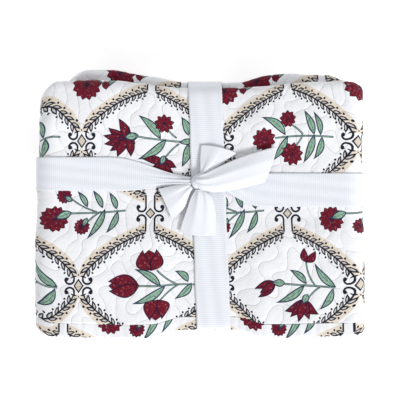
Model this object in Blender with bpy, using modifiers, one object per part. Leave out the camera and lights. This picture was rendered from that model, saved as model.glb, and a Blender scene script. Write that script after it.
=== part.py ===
"""A folded quilt tied with a sash, lying on its back, with its bound edge along the near side.

Metres, +X to the right of the face, +Y towards the folded top edge, +Z up out of the face.
The origin is the centre of the bundle's footprint, on the surface that it lies on.

The quilt is folded twice. Across its width it is folded in half and in half again, which makes a
strip of four plies, and the strip is then folded round itself five times. So one ply profile,
drawn in the plane of Y and the strip's thickness, is carried along a flat spiral in X and Z.
"""

import math

import bpy
import numpy as np
from mathutils import Matrix
from mathutils.geometry import convex_hull_2d

# The bundle as a whole. Y counts from a line across the face, and at the end everything is moved
# back by MIDDLE_Y, which brings the middle of the footprint to the origin.
MIDDLE_Y = 0.0043
BUNDLE_WIDTH = 0.412
FACE_TOP_Y = 0.1530
NEAR_EDGE_Y = -0.1625
INNER_TURN_SHIFT_Y = 0.0122

# The quilt's cloth, folded
PLY_THICKNESS = 0.0043
PLY_GAP = 0.0008
PLIES = 4
TURN_GAP = 0.0012
PANELS = 5
STRIP_THICKNESS = PLIES * PLY_THICKNESS + (PLIES - 1) * PLY_GAP
TURN_PITCH = STRIP_THICKNESS + TURN_GAP
BUNDLE_HEIGHT = PANELS * STRIP_THICKNESS + (PANELS - 1) * TURN_GAP
OUTER_CORNER_RADIUS = 0.0145
INNER_CORNER_RADIUS = 0.0130
FLAP_END_X = 0.188
CORE_END_X = -0.140

# The binding along the two long edges
BINDING_DEPTH = 0.0172
SEAM_GAP = 0.0006

# The sash
SASH_THICKNESS = 0.0010
PIECE_GAP = 0.0004
LONG_BAND_WIDTH = 0.0415
LONG_BAND_X = 0.0113
LONG_BAND_SLANT = -0.0360
CROSS_BAND_WIDTH = 0.0415
CROSS_BAND_Y = 0.0285
CROSS_BAND_SLANT = -0.048
KNOT_X = 0.0005
KNOT_Y = 0.0295
KNOT_LENGTH = 0.0190
KNOT_WIDTH = 0.0165
KNOT_HEIGHT = 0.0090

# The sash's free ends, from the knot outwards. The edges are as seen with the knot below them:
# left and right edge in X and Y, height of both edges over the quilt's face, height of the arch
# between them, and how far the middle runs ahead of the edges.
TAIL_COLUMNS = ("left_x", "left_y", "right_x", "right_y", "lift", "arch", "ahead")
TAILS = {
    "tail_up": (
        (0.0000, 0.0395, 0.0070, 0.0375, 0.0066, 0.0010, 0.0000),
        (0.0005, 0.0460, 0.0150, 0.0425, 0.0058, 0.0022, 0.0000),
        (0.0002, 0.0580, 0.0300, 0.0530, 0.0040, 0.0030, 0.0010),
        (0.0012, 0.0737, 0.0445, 0.0639, 0.0030, 0.0028, 0.0023),
    ),
    "tail_right": (
        (-0.0052, 0.0335, -0.0064, 0.0265, 0.0112, 0.0018, 0.0000),
        (0.0020, 0.0365, 0.0010, 0.0195, 0.0110, 0.0038, 0.0000),
        (0.0100, 0.0398, 0.0120, 0.0168, 0.0100, 0.0040, 0.0000),
        (0.0190, 0.0446, 0.0215, 0.0160, 0.0092, 0.0042, 0.0000),
        (0.0469, 0.0572, 0.0445, 0.0192, 0.0070, 0.0048, 0.0000),
        (0.0720, 0.0655, 0.0640, 0.0238, 0.0057, 0.0042, 0.0000),
        (0.0951, 0.0720, 0.0794, 0.0273, 0.0044, 0.0016, 0.0010),
    ),
    "tail_left": (
        (-0.0090, 0.0205, -0.0142, 0.0258, 0.0066, 0.0010, 0.0000),
        (-0.0140, 0.0100, -0.0255, 0.0246, 0.0068, 0.0020, 0.0000),
        (-0.0200, -0.0040, -0.0395, 0.0222, 0.0060, 0.0028, 0.0000),
        (-0.0346, -0.0183, -0.0513, 0.0198, 0.0040, 0.0024, -0.0010),
    ),
    "tail_down": (
        (0.0055, 0.0190, -0.0055, 0.0188, 0.0064, 0.0010, 0.0000),
        (0.0145, 0.0105, -0.0112, 0.0085, 0.0066, 0.0030, 0.0000),
        (0.0186, -0.0055, -0.0168, -0.0075, 0.0052, 0.0036, 0.0000),
        (0.0196, -0.0200, -0.0215, -0.0205, 0.0040, 0.0034, 0.0000),
        (0.0190, -0.0365, -0.0252, -0.0325, 0.0030, 0.0028, 0.0030),
    ),
}

# How the sash draws the bundle in. The right side stays squarer: it has only its share of the
# taper and of the tuck at the corners.
BAND_DIP = 0.0045
CROSSING_LIFT = SASH_THICKNESS + PIECE_GAP
BAND_SHOULDER = 0.010
BAND_RAMP = 0.040
CINCH_FAR = 0.0075
CINCH_FAR_RAMP = 0.090
CINCH_INNER_TURNS = 0.25
CINCH_NEAR = 0.0085
CINCH_SIDE = 0.0020
TAPER_TO_TOP = 0.0072
CORNER_TUCK = 0.080
RIGHT_SHARE = 0.30
EDGE_DROOP = 0.0045

COLLECTION_NAME = "Folded_quilt"


def clear_scene():
    """Removes every object that the file opened with."""
    for old in list(bpy.data.objects):
        bpy.data.objects.remove(old, do_unlink=True)


def smooth_step(value, start, end):
    """0 before start, 1 after end, with a smooth rise between them."""
    share = np.clip((value - start) / (end - start), 0.0, 1.0)
    return share * share * (3.0 - 2.0 * share)


def under_band(offset, half_width):
    """1 under a band, falling smoothly to 0 over BAND_RAMP on each side of it."""
    return 1.0 - smooth_step(np.abs(offset), half_width, half_width + BAND_RAMP)


def spiral_path():
    """The strip's middle line in X and Z: rows of x, z and heading, from the outer end inwards.

    It is walked like a turtle. The heading starts along -X, and every turn is to the right, so
    the outer side is always on the left.
    """
    run_marks = np.array([-0.120, -0.060, -0.0190, 0.0410, 0.090, 0.140])
    wall_x = BUNDLE_WIDTH / 2 - STRIP_THICKNESS / 2
    inner_wall_x = wall_x - TURN_PITCH
    level = [STRIP_THICKNESS / 2 + n * TURN_PITCH for n in range(PANELS)]
    rows = [(FLAP_END_X, level[0], math.pi)]

    def run_to(x):
        """Goes straight to x, with a stop at each mark on the way."""
        here_x, here_z, heading = rows[-1]
        low, high = min(here_x, x), max(here_x, x)
        marks = [m for m in run_marks if low + 0.004 < m < high - 0.004]
        marks.sort(reverse=x < here_x)
        rows.extend((m, here_z, heading) for m in marks)
        rows.append((x, here_z, heading))

    def turn_right(radius, angle, steps):
        here_x, here_z, heading = rows[-1]
        centre_x = here_x + radius * math.sin(heading)
        centre_z = here_z - radius * math.cos(heading)
        for step in range(1, steps + 1):
            now = heading - angle * step / steps
            x = centre_x - radius * math.sin(now)
            z = centre_z + radius * math.cos(now)
            rows.append((x, z, now))

    def turn_back(radius, from_level, to_level):
        """A square-shouldered turn: round a corner, along the wall, round the next corner."""
        climb = abs(level[to_level] - level[from_level])
        turn_right(radius, math.pi / 2, 4)
        x, z, heading = rows[-1]
        wall = (climb - 2 * radius) * math.sin(heading)
        rows.append((x, z + wall / 2, heading))
        rows.append((x, z + wall, heading))
        turn_right(radius, math.pi / 2, 4)

    run_to(-wall_x + OUTER_CORNER_RADIUS)
    turn_back(OUTER_CORNER_RADIUS, 0, 4)
    run_to(wall_x - OUTER_CORNER_RADIUS)
    turn_back(OUTER_CORNER_RADIUS, 4, 1)
    run_to(-inner_wall_x + INNER_CORNER_RADIUS)
    turn_back(INNER_CORNER_RADIUS, 1, 3)
    run_to(inner_wall_x - TURN_PITCH / 2)
    turn_right(TURN_PITCH / 2, math.pi, 8)
    run_to(CORE_END_X)
    return np.array(rows)


def ply_line():
    """The ply's middle line in Y and the strip's thickness n, from its outer bound edge inwards.

    Ply 1 runs up to the fold at the top, which wraps round to ply 4. A fold at the near edge
    joins ply 4 to ply 3, and a fold inside the first one joins ply 3 to ply 2, which ends in
    the other bound edge. Each row is y, n and the heading.
    """
    step_n = PLY_THICKNESS + PLY_GAP
    level = {ply: (2.5 - ply) * step_n for ply in (1, 2, 3, 4)}
    run_marks = np.array([-0.050, -0.009, 0.064, 0.105])
    seam_y = NEAR_EDGE_Y + BINDING_DEPTH
    fold_y = FACE_TOP_Y - STRIP_THICKNESS / 2
    near_fold_y = NEAR_EDGE_Y + 0.0095
    rows = []

    def run(start, end, n):
        heading = 0.0 if end > start else math.pi
        marks = run_marks if end > start else run_marks[::-1]
        rows.extend((y, n, heading) for y in (start, *marks, end))

    def bend(centre_y, centre_n, radius, start, sweep, steps):
        """An arc's inner points. start is the heading at its first end."""
        side = math.copysign(1.0, sweep)
        for step in range(1, steps):
            heading = start + sweep * step / steps
            y = centre_y + side * radius * math.sin(heading)
            n = centre_n - side * radius * math.cos(heading)
            rows.append((y, n, heading))

    run(seam_y, fold_y, level[1])
    bend(fold_y, 0.0, level[1], 0.0, -math.pi, 6)
    run(fold_y, near_fold_y, level[4])
    bend(near_fold_y, -step_n, step_n / 2, math.pi, -math.pi, 4)
    run(near_fold_y, fold_y, level[3])
    bend(fold_y, 0.0, level[2], 0.0, math.pi, 4)
    run(fold_y, seam_y, level[2])
    return np.array(rows)


def thick_outline(line, thickness):
    """The two sides of a line of y, n and heading, each half the thickness away from it."""
    y, n, heading = line.T
    left = np.stack([y - np.sin(heading) * thickness / 2, n + np.cos(heading) * thickness / 2])
    right = np.stack([y + np.sin(heading) * thickness / 2, n - np.cos(heading) * thickness / 2])
    return left.T, right.T


def settle(points):
    """Moves points of the square-folded bundle to where the tied, soft one has them."""
    x, y, z = points.T
    along = under_band(x - LONG_BAND_X, LONG_BAND_WIDTH / 2 + BAND_SHOULDER)
    across = under_band(y - CROSS_BAND_Y, CROSS_BAND_WIDTH / 2 + 0.0165)
    banded = 1.0 - (1.0 - along) * (1.0 - across)
    height = np.clip(z / BUNDLE_HEIGHT, 0.0, 1.0)
    droop_far = np.clip((y - 0.095) / 0.060, 0.0, 1.0) ** 2
    droop_near = np.clip((-y - 0.120) / 0.045, 0.0, 1.0) ** 2
    lift = CROSSING_LIFT * (banded + along * across) * (1.0 - height) ** 2
    drop = (BAND_DIP * banded + EDGE_DROOP * (droop_far + 0.4 * droop_near)) * height**3
    new_z = z + lift - drop
    far_side = smooth_step(y, 0.040, 0.165)
    near_side = smooth_step(-y, 0.060, 0.165)
    far_reach = LONG_BAND_WIDTH / 2 + BAND_SHOULDER
    drawn = 1.0 - smooth_step(np.abs(x - LONG_BAND_X), far_reach, far_reach + CINCH_FAR_RAMP)
    new_y = y - drawn * CINCH_FAR * far_side + along * CINCH_NEAR * near_side
    side = x / (BUNDLE_WIDTH / 2)
    taper = TAPER_TO_TOP * smooth_step(y, 0.010, 0.150) * np.where(x < 0, 1.0, RIGHT_SHARE)
    new_x = x - side * (taper + CINCH_SIDE * across)
    return np.stack([new_x, new_y, new_z], axis=1)


def sweep_places(path, ring):
    """Where each point of a ring of y, n stands at each station of the path, before settling."""
    x, z, heading = path.T
    lengths = np.hypot(np.diff(x), np.diff(z))
    walked = np.concatenate([[0.0], np.cumsum(lengths)])
    outer_turn = np.flatnonzero(np.isclose(z, z.max()))[-1]
    shift = INNER_TURN_SHIFT_Y * smooth_step(walked, walked[outer_turn], walked[outer_turn] + 0.085)
    reach = LONG_BAND_WIDTH / 2 + BAND_SHOULDER
    drawn_in = 1.0 - CINCH_INNER_TURNS * under_band(x - LONG_BAND_X, reach)
    at_left = 1.0 + 0.40 * smooth_step(-x, 0.070, 0.120) - 1.00 * smooth_step(-x, 0.145, 0.178)
    drawn_in = drawn_in * at_left * (1.0 - 0.4 * x)
    tuck = 1.0 - CORNER_TUCK * np.sin(heading) ** 2 * np.where(x < 0, 1.0, RIGHT_SHARE)
    ring_y, ring_n = ring.T
    middle_y = (FACE_TOP_Y + NEAR_EDGE_Y) / 2
    places = np.empty((len(path), len(ring), 3))
    places[..., 0] = x[:, None] - np.sin(heading)[:, None] * ring_n
    places[..., 1] = middle_y + (ring_y - middle_y) * tuck[:, None] + (shift * drawn_in)[:, None]
    places[..., 2] = z[:, None] + np.cos(heading)[:, None] * ring_n
    return settle(places.reshape(-1, 3))


def swept_solid(name, path, left, right, material):
    """One closed solid: the outline left + right carried along the path, closed at both ends.

    Each four-sided patch is split the same way across Y, so that plies lie on each other evenly.
    """
    ring = np.concatenate([left, right[::-1]])
    vertices = sweep_places(path, ring)
    stations, size = len(path), len(ring)
    split_order = ring[:, 0] + 0.1 * ring[:, 1]
    faces = []
    for station in range(stations - 1):
        here, there = station * size, (station + 1) * size
        for k in range(size):
            after = (k + 1) % size
            a, b, c, d = here + k, there + k, there + after, here + after
            if split_order[after] > split_order[k]:
                faces.extend(((a, b, d), (b, c, d)))
            else:
                faces.extend(((a, b, c), (a, c, d)))
    for base, flip in ((0, True), ((stations - 1) * size, False)):
        for k in range(len(left) - 1):
            corners = (base + k, base + size - 1 - k, base + size - 2 - k, base + k + 1)
            faces.append(corners[::-1] if flip else corners)
    return new_object(name, vertices, faces, material)


def new_object(name, vertices, faces, material):
    """A named object of these faces, smooth except at edges of over 50 degrees."""
    mesh = bpy.data.meshes.new(name)
    mesh.from_pydata([tuple(v) for v in vertices], [], faces)
    mesh.validate()
    mesh.update()
    mesh.shade_smooth()
    mesh.set_sharp_from_angle(angle=math.radians(50))
    mesh.materials.append(material)
    made = bpy.data.objects.new(name, mesh)
    bpy.data.collections[COLLECTION_NAME].objects.link(made)
    return made


def binding_outline(middle_n):
    """The binding's two sides: flat beside the seam, and rounded off at its outer edge."""
    seam_y = NEAR_EDGE_Y + BINDING_DEPTH - SEAM_GAP
    half = PLY_THICKNESS / 2
    side_y = (seam_y, NEAR_EDGE_Y + 0.008, NEAR_EDGE_Y + 0.0025, NEAR_EDGE_Y)
    side_n = (half, half, half * 0.85, half * 0.35)
    low = np.array([(y, middle_n - n) for y, n in zip(side_y, side_n)])
    high = np.array([(y, middle_n + n) for y, n in zip(side_y, side_n)])
    return low, high


def build_quilt(path, material):
    """The cloth itself: one ply line, as thick as the quilt, carried along the spiral."""
    left, right = thick_outline(ply_line(), PLY_THICKNESS)
    return swept_solid("quilt", path, left, right, material)


def build_bindings(path, material):
    """The strips along both long edges, outer and inner."""
    step_n = PLY_THICKNESS + PLY_GAP
    made = []
    for name, middle_n in (("binding_outer", 1.5 * step_n), ("binding_inner", 0.5 * step_n)):
        left, right = binding_outline(middle_n)
        made.append(swept_solid(name, path, left, right, material))
    return made


def hull_loop(points, clearance, step):
    """The tight loop round flat points, moved out by the clearance, with even stops on it."""
    hull = points[convex_hull_2d([tuple(p) for p in points])]
    area = np.cross(hull, np.roll(hull, -1, axis=0)).sum()
    hull = hull if area > 0 else hull[::-1]
    edges = np.roll(hull, -1, axis=0) - hull
    long_enough = np.hypot(*edges.T) > 0.0015
    hull = hull[long_enough]
    edges = np.roll(hull, -1, axis=0) - hull
    normals = np.stack([edges[:, 1], -edges[:, 0]], axis=1) / np.hypot(*edges.T)[:, None]
    before = np.roll(normals, 1, axis=0)
    joint = normals + before
    joint = joint / (joint * normals).sum(axis=1)[:, None]
    corners = hull + joint * clearance
    loop = []
    for here, there in zip(corners, np.roll(corners, -1, axis=0)):
        pieces = max(1, round(float(np.hypot(*(there - here))) / step))
        loop.extend(here + (there - here) * k / pieces for k in range(pieces))
    return np.array(loop)


def cloth_points(objects):
    """All the corner points of these objects, as rows of x, y, z."""
    return np.concatenate([[tuple(v.co) for v in made.data.vertices] for made in objects])


def add_thickness(made, thickness):
    """Turns an open surface into a sheet, with the surface as its outer face."""
    solidify = made.modifiers.new("Sheet", "SOLIDIFY")
    solidify.thickness = thickness
    solidify.offset = -1.0
    solidify.use_even_offset = True
    return made


def strip_faces(rows, columns, closed):
    """The quads of a grid with that many rows and columns, joined end to end if closed."""
    faces = []
    for row in range(rows if closed else rows - 1):
        here, there = row * columns, ((row + 1) % rows) * columns
        faces.extend((here + k, here + k + 1, there + k + 1, there + k) for k in range(columns - 1))
    return faces


def build_long_band(cloth, material):
    """The sash's turn round the short way, over the face, far edge, back and near edge."""
    points = cloth_points(cloth)
    half = LONG_BAND_WIDTH / 2
    near = np.abs(points[:, 0] - LONG_BAND_X) < half + 0.012
    outside = PIECE_GAP + SASH_THICKNESS
    loop = hull_loop(points[near][:, 1:], outside, 0.048)[::-1]
    loop[:, 1] = np.where(loop[:, 1] < 0.0012, 0.0, loop[:, 1])
    columns = np.array([-half, 0.0, half])
    middle_x = LONG_BAND_X + LONG_BAND_SLANT * loop[:, 0]
    vertices = np.empty((len(loop), len(columns), 3))
    vertices[..., 0] = middle_x[:, None] + columns
    vertices[..., 1] = loop[:, :1]
    vertices[..., 2] = loop[:, 1:]
    faces = strip_faces(len(loop), len(columns), True)
    made = new_object("band_long", vertices.reshape(-1, 3), faces, material)
    return add_thickness(made, SASH_THICKNESS)


def face_height(x, y):
    """The height of the quilt's upper face at x, y."""
    level = np.full(np.shape(x), BUNDLE_HEIGHT)
    flat = np.stack([np.asarray(x, float), np.asarray(y, float), level], axis=-1)
    return settle(flat.reshape(-1, 3))[:, 2].reshape(np.shape(x))


def build_cross_band(cloth, material):
    """The sash's turn round the long way. Both its ends are drawn together at the knot."""
    points = cloth_points(cloth)
    near = np.abs(points[:, 1] - CROSS_BAND_Y) < CROSS_BAND_WIDTH / 2 + 0.018
    outside = 1.5 * PIECE_GAP + SASH_THICKNESS
    loop = hull_loop(points[near][:, ::2], outside, 0.060)
    on_face = loop[:, 1] > BUNDLE_HEIGHT - BAND_DIP
    on_floor = loop[:, 1] < 0.004
    wall = loop[~on_face & ~on_floor]
    left_wall = wall[wall[:, 0] < 0]
    left_wall = left_wall[np.argsort(-left_wall[:, 1])]
    right_wall = wall[wall[:, 0] > 0]
    right_wall = right_wall[np.argsort(right_wall[:, 1])]
    floor_x = loop[on_floor, 0]
    face_z = BUNDLE_HEIGHT - BAND_DIP + outside
    left_marks = np.array([-0.0102, -0.026, -0.048, -0.072, -0.105, -0.145, -0.178])
    back_marks = np.array([-0.150, -0.085, -0.026, -0.014, 0.036, 0.048, 0.105, 0.150])
    right_marks = np.array([0.178, 0.150, 0.115, 0.085, 0.060, 0.040, 0.023, 0.0118])
    back_x = np.concatenate([[floor_x.min()], back_marks, [floor_x.max()]])
    over_long_band = (back_x > -0.020) & (back_x < 0.042)
    back_z = np.where(over_long_band, SASH_THICKNESS + PIECE_GAP, 0.0)
    x = np.concatenate([left_marks, left_wall[:, 0], back_x, right_wall[:, 0], right_marks])
    left_z = np.full(len(left_marks), face_z)
    right_z = np.full(len(right_marks), face_z)
    z = np.concatenate([left_z, left_wall[:, 1], back_z, right_wall[:, 1], right_z])
    from_knot = np.abs(x - KNOT_X)
    front = z > BUNDLE_HEIGHT * 0.8
    opens_by = np.where(x > KNOT_X, 0.072, 0.105)
    spread = smooth_step(from_knot, 0.010, opens_by)
    half = np.where(front, 0.0050 + (CROSS_BAND_WIDTH / 2 - 0.0050) * spread, CROSS_BAND_WIDTH / 2)
    rise = 0.0020 * (1.0 - smooth_step(from_knot, 0.012, 0.060))
    over_band = (SASH_THICKNESS + PIECE_GAP) * under_band(x - LONG_BAND_X, LONG_BAND_WIDTH / 2 + 0.004)
    z = z + np.where(front, rise + over_band, 0.0)
    side_y = CROSS_BAND_Y + CROSS_BAND_SLANT * np.sign(x) * BUNDLE_WIDTH / 2
    drawn_y = KNOT_Y + (side_y - KNOT_Y) * smooth_step(from_knot, 0.0, 1.13 * opens_by)
    middle_y = np.where(front, drawn_y, CROSS_BAND_Y + CROSS_BAND_SLANT * x)
    columns = np.array([-1.0, -0.4, 0.4, 1.0])
    vertices = np.empty((len(x), len(columns), 3))
    vertices[..., 0] = x[:, None]
    vertices[..., 1] = middle_y[:, None] + half[:, None] * columns
    arch = 0.0020 * (1.0 - spread) * front
    vertices[..., 2] = z[:, None] + arch[:, None] * (1.0 - columns**2)
    faces = strip_faces(len(x), len(columns), False)
    made = new_object("band_cross", vertices.reshape(-1, 3), faces, material)
    return add_thickness(made, SASH_THICKNESS)


def build_knot(material):
    """The knot's wrapped loops, as one soft rounded body on top of the long band."""
    bottom = float(face_height(KNOT_X, KNOT_Y)) + SASH_THICKNESS + 2 * PIECE_GAP
    bpy.ops.mesh.primitive_uv_sphere_add(segments=20, ring_count=10, radius=1.0)
    made = bpy.context.object
    made.name = made.data.name = "knot"
    for home in list(made.users_collection):
        home.objects.unlink(made)
    bpy.data.collections[COLLECTION_NAME].objects.link(made)
    flat = np.array([tuple(v.co) for v in made.data.vertices])
    turn = 0.35
    x = flat[:, 0] * KNOT_LENGTH / 2
    y = flat[:, 1] * KNOT_WIDTH / 2
    waist = 1.0 - 0.16 * np.exp(-((flat[:, 0] / 0.25) ** 2))
    y = y * waist
    z = np.sign(flat[:, 2]) * np.abs(flat[:, 2]) ** 0.8 * KNOT_HEIGHT / 2
    places = np.stack(
        [
            KNOT_X + x * math.cos(turn) - y * math.sin(turn),
            KNOT_Y + x * math.sin(turn) + y * math.cos(turn),
            bottom + KNOT_HEIGHT / 2 + z,
        ],
        axis=1,
    )
    made.data.vertices.foreach_set("co", places.ravel())
    made.data.update()
    made.data.shade_smooth()
    made.data.materials.append(material)
    return made


def build_tail(name, material):
    """One free end of the sash: an arched sheet from the knot to its cut edge."""
    table = dict(zip(TAIL_COLUMNS, np.array(TAILS[name]).T))
    across = np.array([0.0, 0.2, 0.5, 0.8, 1.0])
    left = np.stack([table["left_x"], table["left_y"]], axis=1)
    right = np.stack([table["right_x"], table["right_y"]], axis=1)
    flat = left[:, None] + (right - left)[:, None] * across[None, :, None]
    middle = (left + right) / 2
    heading = np.gradient(middle, axis=0)
    heading = heading / np.hypot(*heading.T)[:, None]
    bulge = 4 * across * (1.0 - across)
    flat = flat + heading[:, None] * (table["ahead"][:, None] * bulge)[..., None]
    height = table["lift"][:, None] + table["arch"][:, None] * bulge
    z = face_height(flat[..., 0], flat[..., 1]) + height
    vertices = np.concatenate([flat, z[..., None]], axis=2).reshape(-1, 3)
    faces = strip_faces(len(flat), len(across), False)
    made = new_object(name, vertices, faces, material)
    return add_thickness(made, SASH_THICKNESS)


def fabric(name, colour, roughness):
    """A plain matt material."""
    made = bpy.data.materials.new(name)
    made.use_nodes = True
    shader = made.node_tree.nodes["Principled BSDF"]
    shader.inputs["Base Color"].default_value = (*colour, 1.0)
    shader.inputs["Roughness"].default_value = roughness
    shader.inputs["Metallic"].default_value = 0.0
    return made


def build():
    """The quilt first, then its bindings, then the sash round all of them."""
    clear_scene()
    bpy.context.scene.collection.children.link(bpy.data.collections.new(COLLECTION_NAME))
    path = spiral_path()
    quilt = build_quilt(path, fabric("printed_cotton", (0.72, 0.68, 0.66), 0.85))
    bindings = build_bindings(path, fabric("binding_cotton", (0.66, 0.60, 0.60), 0.85))
    sash = fabric("ribbed_sash", (0.80, 0.83, 0.88), 0.55)
    build_long_band([quilt, *bindings], sash)
    build_cross_band([quilt, *bindings], sash)
    build_knot(sash)
    for name in TAILS:
        build_tail(name, sash)
    for made in bpy.data.collections[COLLECTION_NAME].objects:
        made.data.transform(Matrix.Translation((0.0, -MIDDLE_Y, 0.0)))


build()
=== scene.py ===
# %% [markdown]
# # A folded quilt tied with a sash
# A quilt is three layers of cloth sewn together: a printed cotton top, a soft filling and a
# backing. This one is folded in four across its width, and that strip is folded round itself five
# times. A wide ribbed sash goes round it both ways and is tied in a square knot on the face.
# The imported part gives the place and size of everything. This notebook dresses it: it rebuilds the
# cloth more finely on the same folds, and gives each piece its woven or printed finish.

import math

import bpy
import numpy as np
from mathutils import Matrix, Vector
from mathutils.geometry import convex_hull_2d


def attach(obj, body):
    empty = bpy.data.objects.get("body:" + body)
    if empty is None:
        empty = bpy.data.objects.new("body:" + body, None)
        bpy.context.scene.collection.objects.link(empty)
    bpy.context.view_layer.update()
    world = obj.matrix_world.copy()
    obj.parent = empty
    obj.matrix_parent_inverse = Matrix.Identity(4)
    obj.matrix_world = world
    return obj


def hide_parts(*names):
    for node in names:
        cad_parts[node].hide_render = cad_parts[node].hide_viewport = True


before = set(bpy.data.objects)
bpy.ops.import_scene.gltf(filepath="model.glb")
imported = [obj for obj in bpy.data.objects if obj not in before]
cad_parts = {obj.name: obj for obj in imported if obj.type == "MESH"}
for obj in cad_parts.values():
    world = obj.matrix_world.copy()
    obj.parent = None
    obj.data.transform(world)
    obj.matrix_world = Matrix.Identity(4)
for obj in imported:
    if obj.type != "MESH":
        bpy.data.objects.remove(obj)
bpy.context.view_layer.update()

# %% [markdown]
# ## How the bundle is folded
# The sizes are the part's own. A ply is one thickness of the quilt. Four plies make the strip, and
# the strip lies in five turns. The sash draws the bundle in where it crosses it, and the turns
# inside stand a little further out at the far side than the outer one.

# %% Sizes of the fold
BUNDLE_WIDTH = 0.412
MIDDLE_Y = 0.0043
FACE_TOP_Y = 0.1530
NEAR_EDGE_Y = -0.1625
INNER_TURN_SHIFT_Y = 0.0122
PLY_THICKNESS = 0.0043
PLY_GAP = 0.0008
TURN_GAP = 0.0012
PLY_STEP = PLY_THICKNESS + PLY_GAP
STRIP_THICKNESS = 4 * PLY_THICKNESS + 3 * PLY_GAP
TURN_PITCH = STRIP_THICKNESS + TURN_GAP
BUNDLE_HEIGHT = 5 * STRIP_THICKNESS + 4 * TURN_GAP
OUTER_CORNER_RADIUS = 0.0145
INNER_CORNER_RADIUS = 0.0130
FLAP_END_X = 0.188
CORE_END_X = -0.140
NEAR_FOLD_INSET = 0.0095
BINDING_DEPTH = 0.0172
SEAM_GAP = 0.0006

SASH_THICKNESS = 0.0010
PIECE_GAP = 0.0004
LONG_BAND_WIDTH = 0.0415
LONG_BAND_X = 0.0113
LONG_BAND_SLANT = -0.0360
CROSS_BAND_WIDTH = 0.0415
CROSS_BAND_Y = 0.0285
CROSS_BAND_SLANT = -0.048
KNOT_X = 0.0005
KNOT_Y = 0.0295

BAND_DIP = 0.0045
BAND_SHOULDER = 0.010
BAND_RAMP = 0.040
CINCH_FAR = 0.0075
CINCH_FAR_RAMP = 0.090
CINCH_INNER_TURNS = 0.25
CINCH_NEAR = 0.0085
EDGE_DROOP = 0.0045
TAPER_TO_FAR_SIDE = 0.0072
WAIST_AT_CROSS_BAND = 0.0020
CORNER_TUCK = 0.080
RIGHT_SHARE = 0.30
SLOW_RISE = 0.0010
EDGE_WANDER = 0.0012
QUILTING_WAVE = 0.030
FACE_Z = BUNDLE_HEIGHT - BAND_DIP
print("a strip of four plies is", round(STRIP_THICKNESS * 1000, 1), "mm thick")

# %% [markdown]
# ## Soft unevenness
# Cloth is never quite even. A sum of a few long cosine waves in many directions gives a smooth,
# repeatable hill-and-valley field. With waves of about 30 mm its level lines wander in rounded
# loops, as the quilting stitches of this kind of quilt do. With longer waves it is the slow rise
# and fall of a soft bundle.

# %% Smooth fields


def smooth_step(value, start, end):
    """0 before start, 1 after end, and 3 t^2 - 2 t^3 of the way t between them."""
    t = np.clip((value - start) / (end - start), 0.0, 1.0)
    return t * t * (3.0 - 2.0 * t)


def wave_field(u, v, wavelength, seed, waves=22, spread=0.22):
    """Sum of cosines of about one wavelength in random directions, divided by sqrt(waves / 2)."""
    dice = np.random.default_rng(seed)
    angle = dice.uniform(0.0, 2.0 * np.pi, waves)
    phase = dice.uniform(0.0, 2.0 * np.pi, waves)
    number = 2.0 * np.pi / (wavelength * dice.uniform(1.0 - spread, 1.0 + spread, waves))
    total = np.zeros(np.broadcast(u, v).shape)
    for a, p, k in zip(angle, phase, number):
        total += np.cos(k * (np.cos(a) * u + np.sin(a) * v) + p)
    return total / np.sqrt(waves / 2.0)


def quilting(u, v):
    """The field whose zero lines are the quilting stitches, at u, v metres on the flat cloth."""
    return wave_field(u, v, QUILTING_WAVE, seed=5)


def puff(u, v):
    """How far the face stands out between the stitches: 1 - exp(-(f / 0.5)^2), from 0 to 1."""
    return 1.0 - np.exp(-((quilting(u, v) / 0.5) ** 2))


print("the quilting wanders in waves of about", round(QUILTING_WAVE * 1000), "mm")

# %% [markdown]
# ## The strip's path and the ply's line
# The strip's middle line is a flat spiral in X and Z. The ply's line lies across it, in Y and the
# strip's thickness. Both are lists of straight runs and bends. Stops are close together where the
# cloth is on show, on the upper face and round its edges, and far apart inside.

# %% Lines of runs and bends


class Line:
    """A flat line walked like a turtle: rows of place, heading and distance walked."""

    def __init__(self, x, y, heading):
        self.rows = [(x, y, heading, 0.0)]

    def run(self, length, spacing):
        """Straight ahead, with even stops."""
        x, y, heading, walked = self.rows[-1]
        stops = max(1, round(length / spacing))
        for k in range(1, stops + 1):
            d = length * k / stops
            px, py = x + d * math.cos(heading), y + d * math.sin(heading)
            self.rows.append((px, py, heading, walked + d))

    def bend(self, radius, angle, spacing):
        """Round an arc: to the left for a positive angle, to the right for a negative one."""
        x, y, heading, walked = self.rows[-1]
        side = math.copysign(1.0, angle)
        stops = max(4, round(radius * abs(angle) / spacing))
        for k in range(1, stops + 1):
            now = heading + angle * k / stops
            px = x + side * radius * (math.sin(now) - math.sin(heading))
            py = y - side * radius * (math.cos(now) - math.cos(heading))
            self.rows.append((px, py, now, walked + radius * abs(angle) * k / stops))

    def table(self):
        """The rows as one array."""
        return np.array(self.rows)


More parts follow.
